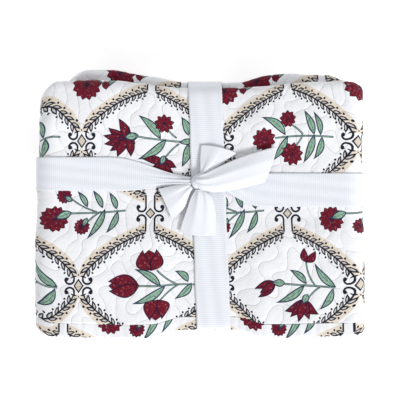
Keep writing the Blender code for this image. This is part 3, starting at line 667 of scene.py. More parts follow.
# %% Sprays of the print
SPRAYS = {
    "dahlias": (
        ("stem", (-26, 7.3, 45.6, 0.5, 0.9, -0.8)),
        ("stem", (32, 6, 18.6, 20, 0.8, 0.8)),
        ("stem", (35, -2, 18.6, -19, 0.8, -0.8)),
        ("leaf", (11.9, 4.6, -14.3, 32.4, 4.4, -3.0)),
        ("leaf", (18.6, 3.2, -14.3, -21.6, 4.2, 3.5)),
        ("leaf", (47, 10, 38.9, 33.5, 4.2, -2.0)),
        ("leaf", (47, -2, 39.7, -30.5, 4.2, 2.0)),
        ("leaf", (52, 2, 36, 0, 3.2, 0.0)),
        ("leaf", (-16, 8, -30, 4, 3.6, 0.0)),
        ("petal", (-31, 4, -20.5, -3, 4.4, 1.0)),
        ("petal", (-31, 3, -28, 18, 4.0, 1.0)),
        ("petal", (-31, 3, -53, 15.5, 4.4, 1.5)),
        ("petal", (-31, 3, -40, 27, 4.6, -2.0)),
        ("petal", (-31, 3, -59, 6.5, 4.2, 1.0)),
        ("petal", (-31, 3, -58, -3.5, 4.2, 1.0)),
        ("petal", (-31, 3, -25, -18, 4.6, 2.0)),
        ("petal", (-31, 3, -51, -11.5, 4.2, 1.0)),
        ("petal", (-31, 3, -42, -18.5, 4.6, -1.0)),
        ("leaf", (-18, 7.5, -33, 4.5, 3.8, 0.0)),
        ("flower", (16.7, 24.3, 12.5, 9, 2.9, 2.2, 0.2)),
        ("petal", (13.5, -27, -9, -22, 4.0, -2.0)),
        ("petal", (13.5, -27, 2, -17.5, 4.0, 1.0)),
        ("petal", (13.5, -27, 21, -21, 4.0, 1.0)),
        ("petal", (13.5, -27, 31.5, -32, 4.2, 1.5)),
        ("petal", (13.5, -27, -1, -38, 3.6, 1.0)),
        ("petal", (13.5, -27, 28, -40, 3.6, -1.0)),
        ("petal", (13.5, -27, 15, -43, 4.0, 0.0)),
        ("leaf", (17, -17.5, 13, -29, 3.0, 0.0)),
    ),
    "star flowers": (
        ("stem", (-16, 4.6, 60, 5, 0.8, 1.6)),
        ("stem", (20, 8.6, 4, 21, 0.8, -0.8)),
        ("stem", (20, 7.3, 12, -5, 0.8, 0.6)),
        ("leaf", (-3, 8.6, -32.7, 31.6, 4.2, -4.0)),
        ("leaf", (0, 6, -19, -23, 3.6, 2.0)),
        ("leaf", (35, 8.6, 22.7, 36.2, 3.6, -1.0)),
        ("leaf", (43.6, 8, 34.9, 34.3, 3.0, -2.0)),
        ("leaf", (35, 7.3, 22.7, -25, 3.8, 2.0)),
        ("leaf", (45.6, 4.6, 36.2, -21, 3.6, 3.0)),
        ("flower", (-31, 3, 15.5, 10, 3.7, 1.2, 0.35)),
        ("flower", (0, 28, 10.8, 9, 2.8, 1.0, 0.2)),
        ("flower", (6.5, -15.7, 14.5, 10, 3.4, 1.2, 0.1)),
    ),
    "tulips": (
        ("stem", (-15, 0, 56, -1.4, 0.9, 0.0)),
        ("stem", (32, 0, 9, 19, 0.8, 1.0)),
        ("stem", (35, -1.4, 13, -18, 0.8, -1.0)),
        ("leaf", (13, 0, -16.5, 19.7, 3.8, -3.0)),
        ("leaf", (18.6, -1.4, -19, -21, 3.8, 3.0)),
        ("leaf", (47, 2.7, 32, 17, 3.6, -3.0)),
        ("leaf", (51, 0, 32, -20, 3.8, 3.0)),
        ("petal", (-13, 0, -50, 0, 11.5, 0.0)),
        ("petal", (-15, 0, -50, 5.5, 6.6, -3.6)),
        ("petal", (-15, 0.5, -49, -6.5, 6.6, 3.6)),
        ("petal", (2, 18.5, -1, 43.5, 13.0, 0.0)),
        ("petal", (1, 19, -9, 43, 7.0, 5.6)),
        ("petal", (3, 19, 8.5, 44, 6.4, -3.8)),
        ("petal", (10, -17, 7, -42, 13.0, 0.0)),
        ("petal", (9, -17.5, 0, -41, 6.8, -5.0)),
        ("petal", (11, -17.5, 15, -41.5, 6.4, 4.0)),
    ),
    "bells": (
        ("stem", (-10, 2.7, 60, -2, 0.9, 0.0)),
        ("stem", (36, -1, 23, 29, 0.8, 3.0)),
        ("stem", (40, -2, 24, -18, 0.8, -1.5)),
        ("leaf", (60.5, -1.4, 34.9, 25.7, 3.8, 3.0)),
        ("leaf", (23, 3, 3, 19, 3.4, -2.0)),
        ("leaf", (20, 0, -13.8, -20, 3.8, 3.0)),
        ("leaf", (57.8, -4, 41.6, -28.4, 3.6, 3.0)),
        ("petal", (-17, 4, -43, -4, 3.6, -1.5)),
        ("petal", (-17, 4, -38.5, -14, 3.6, 1.5)),
        ("petal", (-17, 4, -36.5, -8.5, 3.8, 0.0)),
        ("leaf", (-5, 3.2, -21, 4.0, 3.6, 0.0)),
        ("petal", (20, -17, -4, -30.5, 4.6, 3.0)),
        ("petal", (20, -17, 38, -35, 4.8, -3.0)),
        ("petal", (20, -18, 3, -37, 4.4, 1.0)),
        ("petal", (21, -18, 26.5, -40.5, 4.4, -1.0)),
        ("petal", (20, -17, 13, -43, 4.8, 0.0)),
        ("leaf", (25, -10.5, 18.5, -21.5, 3.6, 0.0)),
        ("petal", (23, 29, 20, 46, 4.0, 1.6)),
        ("petal", (24, 29, 35, 42, 4.0, -1.6)),
    ),
    "carnations": (
        ("stem", (-18, 0, 56, 3.5, 0.8, -1.0)),
        ("stem", (20, 2, -12, 19, 0.7, 2.0)),
        ("stem", (26, 2, 8, -12, 0.7, -1.0)),
        ("leaf", (9, 8.4, -2, 26, 2.8, -1.0)),
        ("leaf", (27.8, 7, 17, 27, 2.8, -1.0)),
        ("leaf", (45.4, 5.7, 37.3, 24.6, 2.8, -1.0)),
        ("leaf", (30.5, 4.3, 11.6, -29.5, 3.4, 2.0)),
        ("leaf", (46.7, 1.6, 34.6, -22.7, 3.2, 2.0)),
        ("flower", (-30, -7, 16, 13, 3.8, 2.4, 0.2)),
        ("flower", (-19.6, 21.5, 9.5, 13, 2.3, 1.4, 0.1)),
        ("flower", (3, -16.5, 9.8, 13, 2.4, 1.6, 0.3)),
        ("leaf", (-11, 1, -30, -6, 4.0, 0.0)),
        ("leaf", (-10, 15, -19, 21, 2.6, 0.0)),
        ("leaf", (9, -6, 4, -16, 2.6, 0.0)),
    ),
    "poppies": (
        ("stem", (-18, -8, 50, 2, 0.8, -2.0)),
        ("stem", (8, -4, 30, -24, 0.7, 1.0)),
        ("leaf", (14, 2, -6, 22, 3.4, -2.0)),
        ("leaf", (34, 4, 22, 26, 3.0, -1.0)),
        ("leaf", (42, 0, 30, -22, 3.2, 2.0)),
        ("flower", (4.7, -20, 18.5, 13, 4.4, 3.0, 0.1)),
        ("flower", (28.7, -19.2, 4.6, 5, 3.6, 0.6, 0.0)),
        ("flower", (-28, 6, 13, 9, 4.2, 2.0, 0.2)),
        ("flower", (-14, 26, 6.0, 7, 2.8, 1.0, 0.2)),
    ),
}
SPACES = (
    ("dahlias", OVAL_X, OVAL_Y, 2),
    ("star flowers", OVAL_X + REPEAT_X, OVAL_Y, 2),
    ("tulips", OVAL_X, OVAL_Y - REPEAT_Y, 2),
    ("bells", OVAL_X + REPEAT_X, OVAL_Y - REPEAT_Y, 2),
    ("carnations", OVAL_X - REPEAT_X / 2, OVAL_Y - REPEAT_Y / 2, 1),
    ("poppies", OVAL_X - REPEAT_X / 2, OVAL_Y + REPEAT_Y / 2, 1),
)
FRILLED_PETALS = 13
FRILLED_CORE = 0.80
OPEN_CORE = 0.40


def repeated_point(draw, given, x, y, times_x, times_y):
    """X and Y measured from the nearest of the middles at x, y plus whole repeats."""
    wide, high = REPEAT_X * times_x / 2, REPEAT_Y * times_y / 2
    u = draw.math("WRAP", draw.math("SUBTRACT", given["U"], x), wide, -wide)
    v = draw.math("WRAP", draw.math("SUBTRACT", given["V"], y), high, -high)
    return {"X": u, "Y": v}


def lay_shape(draw, point, colour, kind, row):
    """One row of a spray, laid on the colour under it."""
    if kind == "flower":
        x, y, radius, petals, width, heart, turn = row
        inputs = {"At X": x, "At Y": y, "Turn": turn, "Radius": radius, "Petals": petals}
        core = FRILLED_CORE if petals == FRILLED_PETALS else OPEN_CORE
        inputs.update({"Width": width, "Heart": heart, "Core": core})
        inputs.update({"Fill": CRIMSON, "Line": PLUM, "Ink": 0.5})
        group = SHAPES["flower"]
    else:
        x0, y0, x1, y1, width, bend = row
        inputs = {"At X": (x0 + x1) / 2, "At Y": (y0 + y1) / 2}
        inputs["Turn"] = math.atan2(y1 - y0, x1 - x0)
        inputs.update({"Length": math.hypot(x1 - x0, y1 - y0) / 2, "Width": width, "Bend": bend})
        inputs.update({"Fill": GREEN, "Line": DARK_GREEN, "Ink": 0.8})
        if kind == "petal":
            inputs.update({"Fill": CRIMSON, "Line": PLUM})
        if kind == "stem":
            inputs["Ink"] = 0.4
        else:
            inputs["Vein"] = 0.8
        group = SHAPES["stem" if kind == "stem" else "leaf"]
    return draw.use(group, {**inputs, **point, "Under": colour})


def print_group():
    """The whole print at U and V, in millimetres: the vine, the clasps, then the sprays."""
    inputs = {"U": "Float", "V": "Float"}
    draw, given, result = new_group("flower print", inputs, ("Colour", "Color"))
    colour = draw.use(SHAPES["vine"], {"U": given["U"], "V": given["V"], "Under": WHITE})
    side = repeated_point(draw, given, OVAL_X + REPEAT_X / 2, OVAL_Y, 1, 1)
    clasp = {"Under": colour, "Wide": 5.3, "High": 7.6, "Reach": 12.0}
    colour = draw.use(SHAPES["clasp"], {**side, **clasp})
    peak = repeated_point(draw, given, OVAL_X, OVAL_Y + REPEAT_Y / 2, 1, 1)
    clasp = {"Under": colour, "Wide": 5.5, "High": 5.8, "Reach": 22.5}
    colour = draw.use(SHAPES["clasp"], {**peak, **clasp})
    flat = draw.node("ShaderNodeCombineXYZ", {}, {0: given["U"], 1: given["V"]}).outputs[0]
    patches = {"Vector": flat, "Scale": 0.30, "Detail": 3.0, "Roughness": 0.7}
    patches = draw.noise(patches)
    shade = draw.math("MULTIPLY_ADD", patches, 5.0, -2.55, clamped=True)
    shade = draw.math("MULTIPLY", shade, 0.62)
    shine = draw.math("MULTIPLY_ADD", patches, -7.0, 2.75, clamped=True)
    shine = draw.math("MULTIPLY", shine, 0.26)
    for name, x, y, times in SPACES:
        point = repeated_point(draw, given, x, y, times, 2)
        point.update({"Shade": shade, "Shine": shine})
        for kind, row in SPRAYS[name]:
            colour = lay_shape(draw, point, colour, kind, row)
    draw.tree.links.new(colour, result)
    return draw.tree


PRINT = print_group()
print("the print is laid from", sum(len(rows) for rows in SPRAYS.values()), "shapes")

# %% [markdown]
# ## Cotton and ribbed ribbon
# Cotton is plain weave: threads pass over and under each other, about 1.4 to a millimetre here.
# Small wrinkles and a soft dip along the stitches go on top. The ribbon has a fine rib across its
# length, painted darker in its troughs as shade, and a soft sheen. On the free ends the rib and its
# painted shade are fainter.

# %% Cloth finishes
WEAVE_PITCH = 0.7
WEAVE_HEIGHT = 0.012
WRINKLE_HEIGHT = 0.55
STITCH_REACH = 0.22
RIB_PITCH = 2.4
# Strength of the painted shade in the ribs' troughs, for each mm of rib depth.
PAINTED_RIB_SHADE = 6.4
THREAD_PITCH = 0.45
THREAD_HEIGHT = 0.015


def cotton_group():
    """Height in mm: woven threads, small wrinkles, and the stitches' dip where the field is 0."""
    inputs = {"Place": "Vector", "U": "Float", "V": "Float", "Stitch": "Float", "Depth": "Float"}
    draw, given, result = new_group("cotton height", inputs, ("Height", "Float"))
    warp = draw.math("SINE", draw.math("MULTIPLY", given["U"], 2 * math.pi / WEAVE_PITCH))
    weft = draw.math("SINE", draw.math("MULTIPLY", given["V"], 2 * math.pi / WEAVE_PITCH))
    weave = draw.math("MULTIPLY", draw.math("MULTIPLY", warp, weft), WEAVE_HEIGHT)
    noise = {"Vector": given["Place"], "Scale": 0.16, "Detail": 3.0, "Roughness": 0.55}
    height = draw.math("MULTIPLY_ADD", draw.noise(noise), WRINKLE_HEIGHT, weave)
    near = draw.math("DIVIDE", draw.math("ABSOLUTE", given["Stitch"]), STITCH_REACH)
    near = draw.math("SUBTRACT", 1.0, near, clamped=True)
    dip = draw.math("MULTIPLY", draw.math("MULTIPLY", near, near), given["Depth"])
    draw.tree.links.new(draw.math("SUBTRACT", height, dip), result)
    return draw.tree


COTTON = cotton_group()


def cloth_place(draw, shift=(0.0, 0.0)):
    """Place on the flat cloth in millimetres, from the map Cloth: the vector, and its U and V."""
    flat = draw.node("ShaderNodeUVMap", {"uv_map": "Cloth"}, {}).outputs[0]
    inputs = {0: flat, 1: (1000.0, 1000.0, 0.0), 2: (*shift, 0.0)}
    place = draw.node("ShaderNodeVectorMath", {"operation": "MULTIPLY_ADD"}, inputs).outputs[0]
    parts = draw.node("ShaderNodeSeparateXYZ", {}, {0: place}).outputs
    return place, parts[0], parts[1]


def new_material(name, roughness):
    """A weakly glossy material of this roughness, its tree to draw in, and its shader."""
    made = bpy.data.materials.new(name)
    made.use_nodes = True
    shader = made.node_tree.nodes["Principled BSDF"]
    shader.inputs["Roughness"].default_value = roughness
    shader.inputs["Specular IOR Level"].default_value = 0.25
    return made, Drawing(made.node_tree), shader


def cotton_material(name, printed, shift=(0.0, 0.0), depth=0.5):
    """Cotton with the print or plain, moved by shift mm, its stitches' dip depth mm deep."""
    made, draw, shader = new_material(name, 0.88)
    shader.inputs["Sheen Weight"].default_value = 0.08
    place, u, v = cloth_place(draw, shift)
    stitch = draw.node("ShaderNodeAttribute", {"attribute_name": "stitch"}, {}).outputs["Fac"]
    if printed:
        colour = draw.use(PRINT, {"U": u, "V": v})
    else:
        slubs = {"Vector": place, "Scale": 0.9, "Detail": 2.0}
        colour = draw.mix(draw.noise(slubs), linear(226, 225, 222), linear(236, 235, 233))
    draw.tree.links.new(colour, shader.inputs["Base Color"])
    height = draw.use(COTTON, {"Place": place, "U": u, "V": v, "Stitch": stitch, "Depth": depth})
    bump = {"Height": height, "Strength": 1.0, "Distance": 0.001}
    draw.tree.links.new(draw.node("ShaderNodeBump", {}, bump).outputs[0], shader.inputs["Normal"])
    return made


def ribbon_material(name, depth):
    """Ribs of 2.4 mm across the length, as |sin|, depth mm high, and painted shade in the troughs as
    strong as deep.
    """
    made, draw, shader = new_material(name, 0.55)
    shader.inputs["Sheen Weight"].default_value = 0.25
    place, u, v = cloth_place(draw)
    wander = {"Vector": place, "Scale": 0.06, "Detail": 1.0}
    along = draw.math("MULTIPLY_ADD", draw.noise(wander), 0.6, u)
    rib = draw.math("SINE", draw.math("MULTIPLY", along, math.pi / RIB_PITCH))
    rib = draw.math("ABSOLUTE", rib)
    cross = draw.math("SINE", draw.math("MULTIPLY", v, 2 * math.pi / THREAD_PITCH))
    cross = draw.math("MULTIPLY", cross, THREAD_HEIGHT)
    soft = draw.noise({**wander, "Scale": 0.05})
    # Painted shade: darker in the ribs' troughs and lighter on their crests, with soft random
    # patches on top.
    shade = draw.math("MULTIPLY_ADD", rib, PAINTED_RIB_SHADE * depth, draw.math("MULTIPLY", soft, 0.3))
    shade = draw.math("ADD", shade, 0.7 - PAINTED_RIB_SHADE * depth)
    colour = draw.mix(shade, linear(224, 228, 237), linear(240, 243, 249))
    draw.tree.links.new(colour, shader.inputs["Base Color"])
    height = draw.math("MULTIPLY_ADD", rib, depth, cross)
    bump = {"Height": height, "Strength": 1.0, "Distance": 0.001}
    draw.tree.links.new(draw.node("ShaderNodeBump", {}, bump).outputs[0], shader.inputs["Normal"])
    return made


print_material = cotton_material("printed cotton", True)
backing_material = cotton_material("plain backing", False)
binding_material = cotton_material("binding cotton", True, shift=(31.0, 64.0), depth=0.0)
sash_material = ribbon_material("ribbed ribbon", 0.11)
end_material = ribbon_material("ribbon ends", 0.035)
print("five cloth finishes are made")

# %% [markdown]
# ## The quilt
# One ring of points goes up the ply's face side and back along its other side, and is carried
# along the path. Between the stitches the face side is lifted by the quilting's puff, and pulled in
# along the stitches. The print lies a little closer together towards the right edge.

# %% Build the quilt
RELIEF = 0.00075
PRINT_DRIFT = 0.0075


def build_quilt():
    """Grid of ring points by path stops. Face side: n + thickness / 2 + relief * (puff - 0.75)."""
    rows = []
    for table, side in ((face_side, 1.0), (back_side[::-1], -1.0)):
        y, n, heading, walked = table.T
        u = path[:, 3:4] - (face_start + face_end) / 2
        v = walked[None, :] + NEAR_EDGE_Y + BINDING_DEPTH
        out = PLY_THICKNESS / 2 + RELIEF * (puff(u, v) - 0.75) * (side > 0)
        ring_y = y - side * np.sin(heading) * out
        ring_n = n + side * np.cos(heading) * out
        places = swept_places(path, ring_y, ring_n)
        rows.append((places, np.broadcast_to(u, out.shape), np.broadcast_to(v, out.shape)))
    places = np.concatenate([r[0] for r in rows], axis=1)
    u = np.concatenate([r[1] for r in rows], axis=1)
    v = np.concatenate([r[2] for r in rows], axis=1)
    stops, size = u.shape
    faces = grid_faces(stops, size, closed_columns=True)
    on_back = np.tile(np.arange(size) >= len(face_side), stops - 1)
    left = np.arange(len(face_side))
    right = size - 1 - np.arange(len(back_side))
    start = cap_faces(left, right, face_side[:, 3], back_side[:, 3])
    last = (stops - 1) * size
    end = [(a + last, b + last, c + last) for a, b, c in start]
    start = [(a, c, b) for a, b, c in start]
    all_faces = [*faces.tolist(), *start, *end]
    slots = np.concatenate([on_back.astype(int), np.ones(2 * len(start), int)])
    drift = PRINT_DRIFT * smooth_step(u, 0.02, 0.19)
    uv = np.stack([(u + drift).ravel(), v.ravel()], axis=1)
    stitch = quilting(u, v).ravel()
    return mesh_object(
        "quilt_cloth",
        places.reshape(-1, 3),
        all_faces,
        uv,
        [print_material, backing_material],
        slots,
        {"stitch": stitch},
    )


quilt = build_quilt()
print("the quilt has", len(quilt.data.polygons), "faces")

# %% [markdown]
# ## The bindings
# A binding is a folded strip sewn over the cloth's cut edge. It follows the edge through every
# turn, a little puffy, with a puckered seam where the machine has drawn it up.

# %% Build the bindings
PUCKER = 0.00025
SEAM_PULL = 0.0006


def build_binding(name, middle_n, seed):
    """Flat ring, t from 0 at the seam to pi at the edge: y = seam - depth * (1 - cos t) / 2 and
    n = half * 3 cos(t / 2), kept from 0.35 to 1 of half. The seam is pulled in and puckered."""
    seam_y = NEAR_EDGE_Y + BINDING_DEPTH - SEAM_GAP
    turn = np.linspace(0.0, np.pi, 15)
    far = 0.5 + 0.5 * np.cos(turn)
    depth = BINDING_DEPTH - SEAM_GAP
    half = PLY_THICKNESS / 2
    upper_n = half * np.clip(3.0 * np.sin(turn / 2 + np.pi / 2), 0.35, 1.0)
    upper_y = seam_y - depth * (1.0 - far)
    ring_y = np.concatenate([upper_y, upper_y[::-1]])
    ring_n = np.concatenate([upper_n, -upper_n[::-1]])
    u = path[:, 3:4] - (face_start + face_end) / 2
    pucker = PUCKER * wave_field(u, 0.0, 0.009, seed=seed)
    at_seam = np.exp(-(((ring_y - seam_y) / 0.004) ** 2))
    outwards = np.sign(ring_n)
    n = middle_n + ring_n + pucker * outwards - SEAM_PULL * at_seam * outwards
    places = swept_places(path, ring_y, n)
    stops, size = places.shape[:2]
    faces = grid_faces(stops, size, closed_columns=True)[:, ::-1]
    half_size = size // 2
    cap = [(size - 1 - k, size - 2 - k, k + 1, k) for k in range(half_size - 1)]
    last = (stops - 1) * size
    other_cap = [tuple(last + i for i in quad[::-1]) for quad in cap]
    u, v = np.broadcast_arrays(u + 0.075, ring_y + 0.060)
    uv = np.stack([u.ravel(), v.ravel()], axis=1)
    return mesh_object(
        name,
        places.reshape(-1, 3),
        [*faces.tolist(), *cap, *other_cap],
        uv,
        [binding_material],
        extra={"stitch": np.ones(stops * size)},
    )


binding_outer = build_binding("binding_front_edge", 1.5 * PLY_STEP, 31)
binding_inner = build_binding("binding_second_edge", 0.5 * PLY_STEP, 37)
print("each binding has", len(binding_outer.data.polygons), "faces")

# %% [markdown]
# ## The sash, as sheets on a grid
# Ribbed ribbon is a millimetre thick here. Each length is a grid of places for its under face. A
# second grid is set out from it by the ribbon's thickness, and the two are joined round the edges.
# A band pulled tight lies on the tightest loop that can be drawn round the bundle, so the bands
# follow the convex outline of the cloth below them.

# %% Ribbon helpers


def grid_normals(grid, closed_rows):
    """Unit cross product of the grid's steps along its rows and its columns. It points inwards."""
    if closed_rows:
        along = np.roll(grid, -1, axis=0) - np.roll(grid, 1, axis=0)
    else:
        along = np.gradient(grid, axis=0)
    normal = np.cross(along, np.gradient(grid, axis=1))
    return normal / np.maximum(np.linalg.norm(normal, axis=-1, keepdims=True), 1e-12)


def ribbon(name, grid, length_at, width_at, closed_rows=False, material=sash_material):
    """A closed sheet: the grid, and the grid less normal * thickness, joined all round."""
    normal = grid_normals(grid, closed_rows)
    rows, columns = grid.shape[:2]
    upper = (grid - normal * SASH_THICKNESS)[:, ::-1]
    places = np.concatenate([grid, upper], axis=1)
    size = 2 * columns
    faces = grid_faces(rows, size, closed_rows, closed_columns=True).tolist()
    if not closed_rows:
        cap = [(k + 1, k, size - 1 - k, size - 2 - k) for k in range(columns - 1)]
        last = (rows - 1) * size
        faces += [quad[::-1] for quad in cap] + [tuple(last + i for i in quad) for quad in cap]
    across = np.concatenate([width_at, width_at[:, ::-1]], axis=1)
    length_at = np.broadcast_to(length_at[:, None], across.shape)
    uv = np.stack([length_at.ravel(), across.ravel()], axis=1)
    return mesh_object(name, places.reshape(-1, 3), faces, uv, [material])


def tight_loop(flat_points, clearance, spacing):
    """The convex outline of flat points, with even stops, moved out along its own normal."""
    hull = flat_points[convex_hull_2d([tuple(p) for p in flat_points])]
    if np.cross(hull, np.roll(hull, -1, axis=0)).sum() < 0:
        hull = hull[::-1]
    closed = np.vstack([hull, hull[:1]])
    walked = np.concatenate([[0.0], np.cumsum(np.linalg.norm(np.diff(closed, axis=0), axis=1))])
    stops = np.linspace(0.0, walked[-1], int(walked[-1] / spacing), endpoint=False)
    loop = np.stack([np.interp(stops, walked, closed[:, k]) for k in (0, 1)], axis=1)
    for _ in range(3):
        loop = (np.roll(loop, 1, axis=0) + 2.0 * loop + np.roll(loop, -1, axis=0)) / 4.0
    step = np.roll(loop, -1, axis=0) - np.roll(loop, 1, axis=0)
    normal = np.stack([step[:, 1], -step[:, 0]], axis=1)
    return loop + normal / np.linalg.norm(normal, axis=1)[:, None] * clearance


def cloth_places(*objects):
    """The places of all points of these pieces, in one array."""
    stacks = []
    for made in objects:
        flat = np.empty(len(made.data.vertices) * 3)
        made.data.vertices.foreach_get("co", flat)
        stacks.append(flat.reshape(-1, 3))
    return np.concatenate(stacks)


def walk_lengths(places):
    """Distance walked along a row of places."""
    return np.concatenate([[0.0], np.cumsum(np.linalg.norm(np.diff(places, axis=0), axis=1))])


# %% [markdown]
# ## The two bands
# The long band goes over the face, the far edge, the back and the near edge. The cross band goes
# the other way, and both its ends are gathered into the knot, so its ribs fan out from there.

# %% Build the bands
ROUND_SASH = SASH_THICKNESS + PIECE_GAP
GATHERED_HALF = 0.0050
OPENS_RIGHT = 0.072
OPENS_LEFT = 0.105
KNOT_COVERS_LEFT = 0.0095
KNOT_COVERS_RIGHT = 0.0113
RISE_TO_KNOT = 0.0022
cloth = cloth_places(quilt, binding_outer, binding_inner)


def build_long_band():
    """The tight loop in Y and Z, half a width to each side, with edges that wave by a hundredth of
    it and a low ridge of (1 + cos) * 0.35 mm on the face."""
    half = LONG_BAND_WIDTH / 2
    near = np.abs(cloth[:, 0] - LONG_BAND_X) < half + 0.010
    loop = tight_loop(cloth[near][:, 1:], PIECE_GAP, 0.0030)[::-1]
    share = np.linspace(-1.0, 1.0, 19)
    length_at = walk_lengths(np.vstack([loop, loop[:1]]))
    middle_x = LONG_BAND_X + LONG_BAND_SLANT * loop[:, 0]
    grid = np.empty((len(loop), len(share), 3))
    width_wave = 1.0 + 0.012 * np.sin(loop[:, 0] / 0.021) + 0.010 * np.sin(loop[:, 0] / 0.009)
    grid[..., 0] = middle_x[:, None] + half * share * width_wave[:, None]
    grid[..., 1] = loop[:, :1]
    grid[..., 2] = loop[:, 1:]
    on_face = smooth_step(loop[:, 1], FACE_Z - 0.006, FACE_Z - 0.001)[:, None]
    ridge = 0.00035 * np.cos(share * 7.0 + loop[:, :1] * 30.0) + 0.00035
    grid[..., 2] += on_face * ridge
    grid[..., 2] = np.maximum(grid[..., 2], SASH_THICKNESS)
    width_at = np.broadcast_to(half * share, grid.shape[:2])
    made = ribbon("sash_long_band", grid, length_at[:-1], width_at, closed_rows=True)
    return made, length_at[-1]


def build_cross_band():
    """The tight loop in X and Z without what the knot covers. On the face its half width grows by
    a smooth step from the knot to the full one, and it rises, arches and is pleated at the knot."""
    near = np.abs(cloth[:, 1] - CROSS_BAND_Y) < CROSS_BAND_WIDTH / 2 + 0.012
    loop = tight_loop(cloth[near][:, ::2], PIECE_GAP, 0.0025)
    on_face = loop[:, 1] > FACE_Z
    first = int(np.argmin(np.where(on_face, np.abs(loop[:, 0] - KNOT_X), 9.0)))
    loop = np.roll(loop, -first, axis=0)
    on_face = loop[:, 1] > BUNDLE_HEIGHT * 0.8
    from_knot = loop[:, 0] - KNOT_X
    hidden = on_face & (from_knot > -KNOT_COVERS_LEFT) & (from_knot < KNOT_COVERS_RIGHT)
    x, z = loop[~hidden].T
    on_face = on_face[~hidden]
    distance = np.abs(x - KNOT_X)
    opens_by = np.where(x > KNOT_X, OPENS_RIGHT, OPENS_LEFT)
    spread = smooth_step(distance, 0.010, opens_by)
    full = CROSS_BAND_WIDTH / 2
    half = np.where(on_face, GATHERED_HALF + (full - GATHERED_HALF) * spread, full)
    side_y = CROSS_BAND_Y + CROSS_BAND_SLANT * np.sign(x) * BUNDLE_WIDTH / 2
    drawn_y = KNOT_Y + (side_y - KNOT_Y) * smooth_step(distance, 0.0, 1.13 * opens_by)
    middle_y = np.where(on_face, drawn_y, CROSS_BAND_Y + CROSS_BAND_SLANT * x)
    over_long = under_band(x - LONG_BAND_X, LONG_BAND_WIDTH / 2 + 0.004)
    rise = RISE_TO_KNOT * (1.0 - smooth_step(distance, 0.012, 0.060)) + ROUND_SASH * over_long
    inside_long = LONG_BAND_WIDTH / 2 + 0.011 - np.abs(x - LONG_BAND_X)
    under = ROUND_SASH * smooth_step(inside_long, 0.0, 0.006)
    on_floor = np.where(z < 0.004, np.maximum(z, SASH_THICKNESS) + under, z)
    z = np.where(on_face, z + rise, on_floor)
    share = np.linspace(-1.0, 1.0, 25)
    gathered = (1.0 - spread)[:, None] * on_face[:, None]
    pleats = 0.0011 * np.cos(share * 3.4 * np.pi + 0.8) + 0.0006 * np.cos(share * 6.3 * np.pi)
    slack = 0.00025 * np.cos(share * 9.0 + x[:, None] * 45.0) * on_face[:, None]
    grid = np.empty((len(x), len(share), 3))
    grid[..., 0] = x[:, None]
    grid[..., 1] = middle_y[:, None] + half[:, None] * share
    grid[..., 2] = z[:, None] + gathered * (0.0019 * (1.0 - share**2) + pleats * gathered) + slack
    length_at = walk_lengths(np.stack([x, middle_y, z], axis=1))
    width_at = np.broadcast_to(full * share, grid.shape[:2])
    made = ribbon("sash_cross_band", grid, length_at, width_at)
    return made, length_at[-1]


long_band, long_length = build_long_band()
cross_band, cross_length = build_cross_band()
print("bands of", round(long_length, 3), "and", round(cross_length, 3), "m")

# %% [markdown]
# ## The knot and the free ends
# In a square knot the two ends pass round each other twice. What shows on top is one short wrap,
# pleated along its length, with the free ends coming out from under it. Each free end starts as
# narrow as the wrap and opens out to the ribbon's width, with soft folds running from the knot.

# %% Sizes of the free ends
TAIL_COLUMNS = ("left_x", "left_y", "right_x", "right_y", "lift", "arch", "ahead")
TAILS = {
    "tail_up": (
        (0.0000, 0.0395, 0.0070, 0.0375, 0.0066, 0.0010, 0.0000),
        (0.0005, 0.0460, 0.0150, 0.0425, 0.0058, 0.0022, 0.0000),
        (0.0002, 0.0580, 0.0300, 0.0530, 0.0040, 0.0030, 0.0010),
        (0.0012, 0.0737, 0.0445, 0.0639, 0.0030, 0.0028, 0.0023),
    ),
    "tail_right": (
        (-0.0052, 0.0335, -0.0064, 0.0265, 0.0112, 0.0018, 0.0000),
        (0.0020, 0.0365, 0.0010, 0.0195, 0.0110, 0.0038, 0.0000),
        (0.0100, 0.0398, 0.0120, 0.0168, 0.0100, 0.0040, 0.0000),
        (0.0190, 0.0446, 0.0215, 0.0160, 0.0092, 0.0042, 0.0000),
        (0.0469, 0.0572, 0.0445, 0.0192, 0.0070, 0.0048, 0.0000),
        (0.0720, 0.0655, 0.0640, 0.0238, 0.0057, 0.0042, 0.0000),
        (0.0951, 0.0720, 0.0794, 0.0273, 0.0044, 0.0016, 0.0010),
    ),
    "tail_left": (
        (-0.0090, 0.0205, -0.0142, 0.0258, 0.0066, 0.0010, 0.0000),
        (-0.0140, 0.0100, -0.0255, 0.0246, 0.0068, 0.0020, 0.0000),
        (-0.0200, -0.0040, -0.0395, 0.0222, 0.0060, 0.0028, 0.0000),
        (-0.0346, -0.0183, -0.0513, 0.0198, 0.0040, 0.0024, -0.0010),
    ),
    "tail_down": (
        (0.0055, 0.0190, -0.0055, 0.0188, 0.0064, 0.0010, 0.0000),
        (0.0145, 0.0105, -0.0112, 0.0085, 0.0066, 0.0030, 0.0000),
        (0.0186, -0.0055, -0.0168, -0.0075, 0.0052, 0.0036, 0.0000),
        (0.0196, -0.0200, -0.0215, -0.0205, 0.0040, 0.0034, 0.0000),
        (0.0190, -0.0365, -0.0252, -0.0325, 0.0030, 0.0028, 0.0030),
    ),
}
TAIL_FOLDS = {
    "tail_up": (2.0, 0.5),
    "tail_right": (2.6, 0.2),
    "tail_left": (2.2, 1.9),
    "tail_down": (2.4, 2.8),
}
FOLD_HEIGHT = 0.0011
FINE_FOLD_HEIGHT = 0.0004

# %% Build the free ends


def face_height(x, y):
    """Height of the quilt's upper face at x, y."""
    return settle(x, y, np.full(np.shape(x), BUNDLE_HEIGHT))[..., 2]


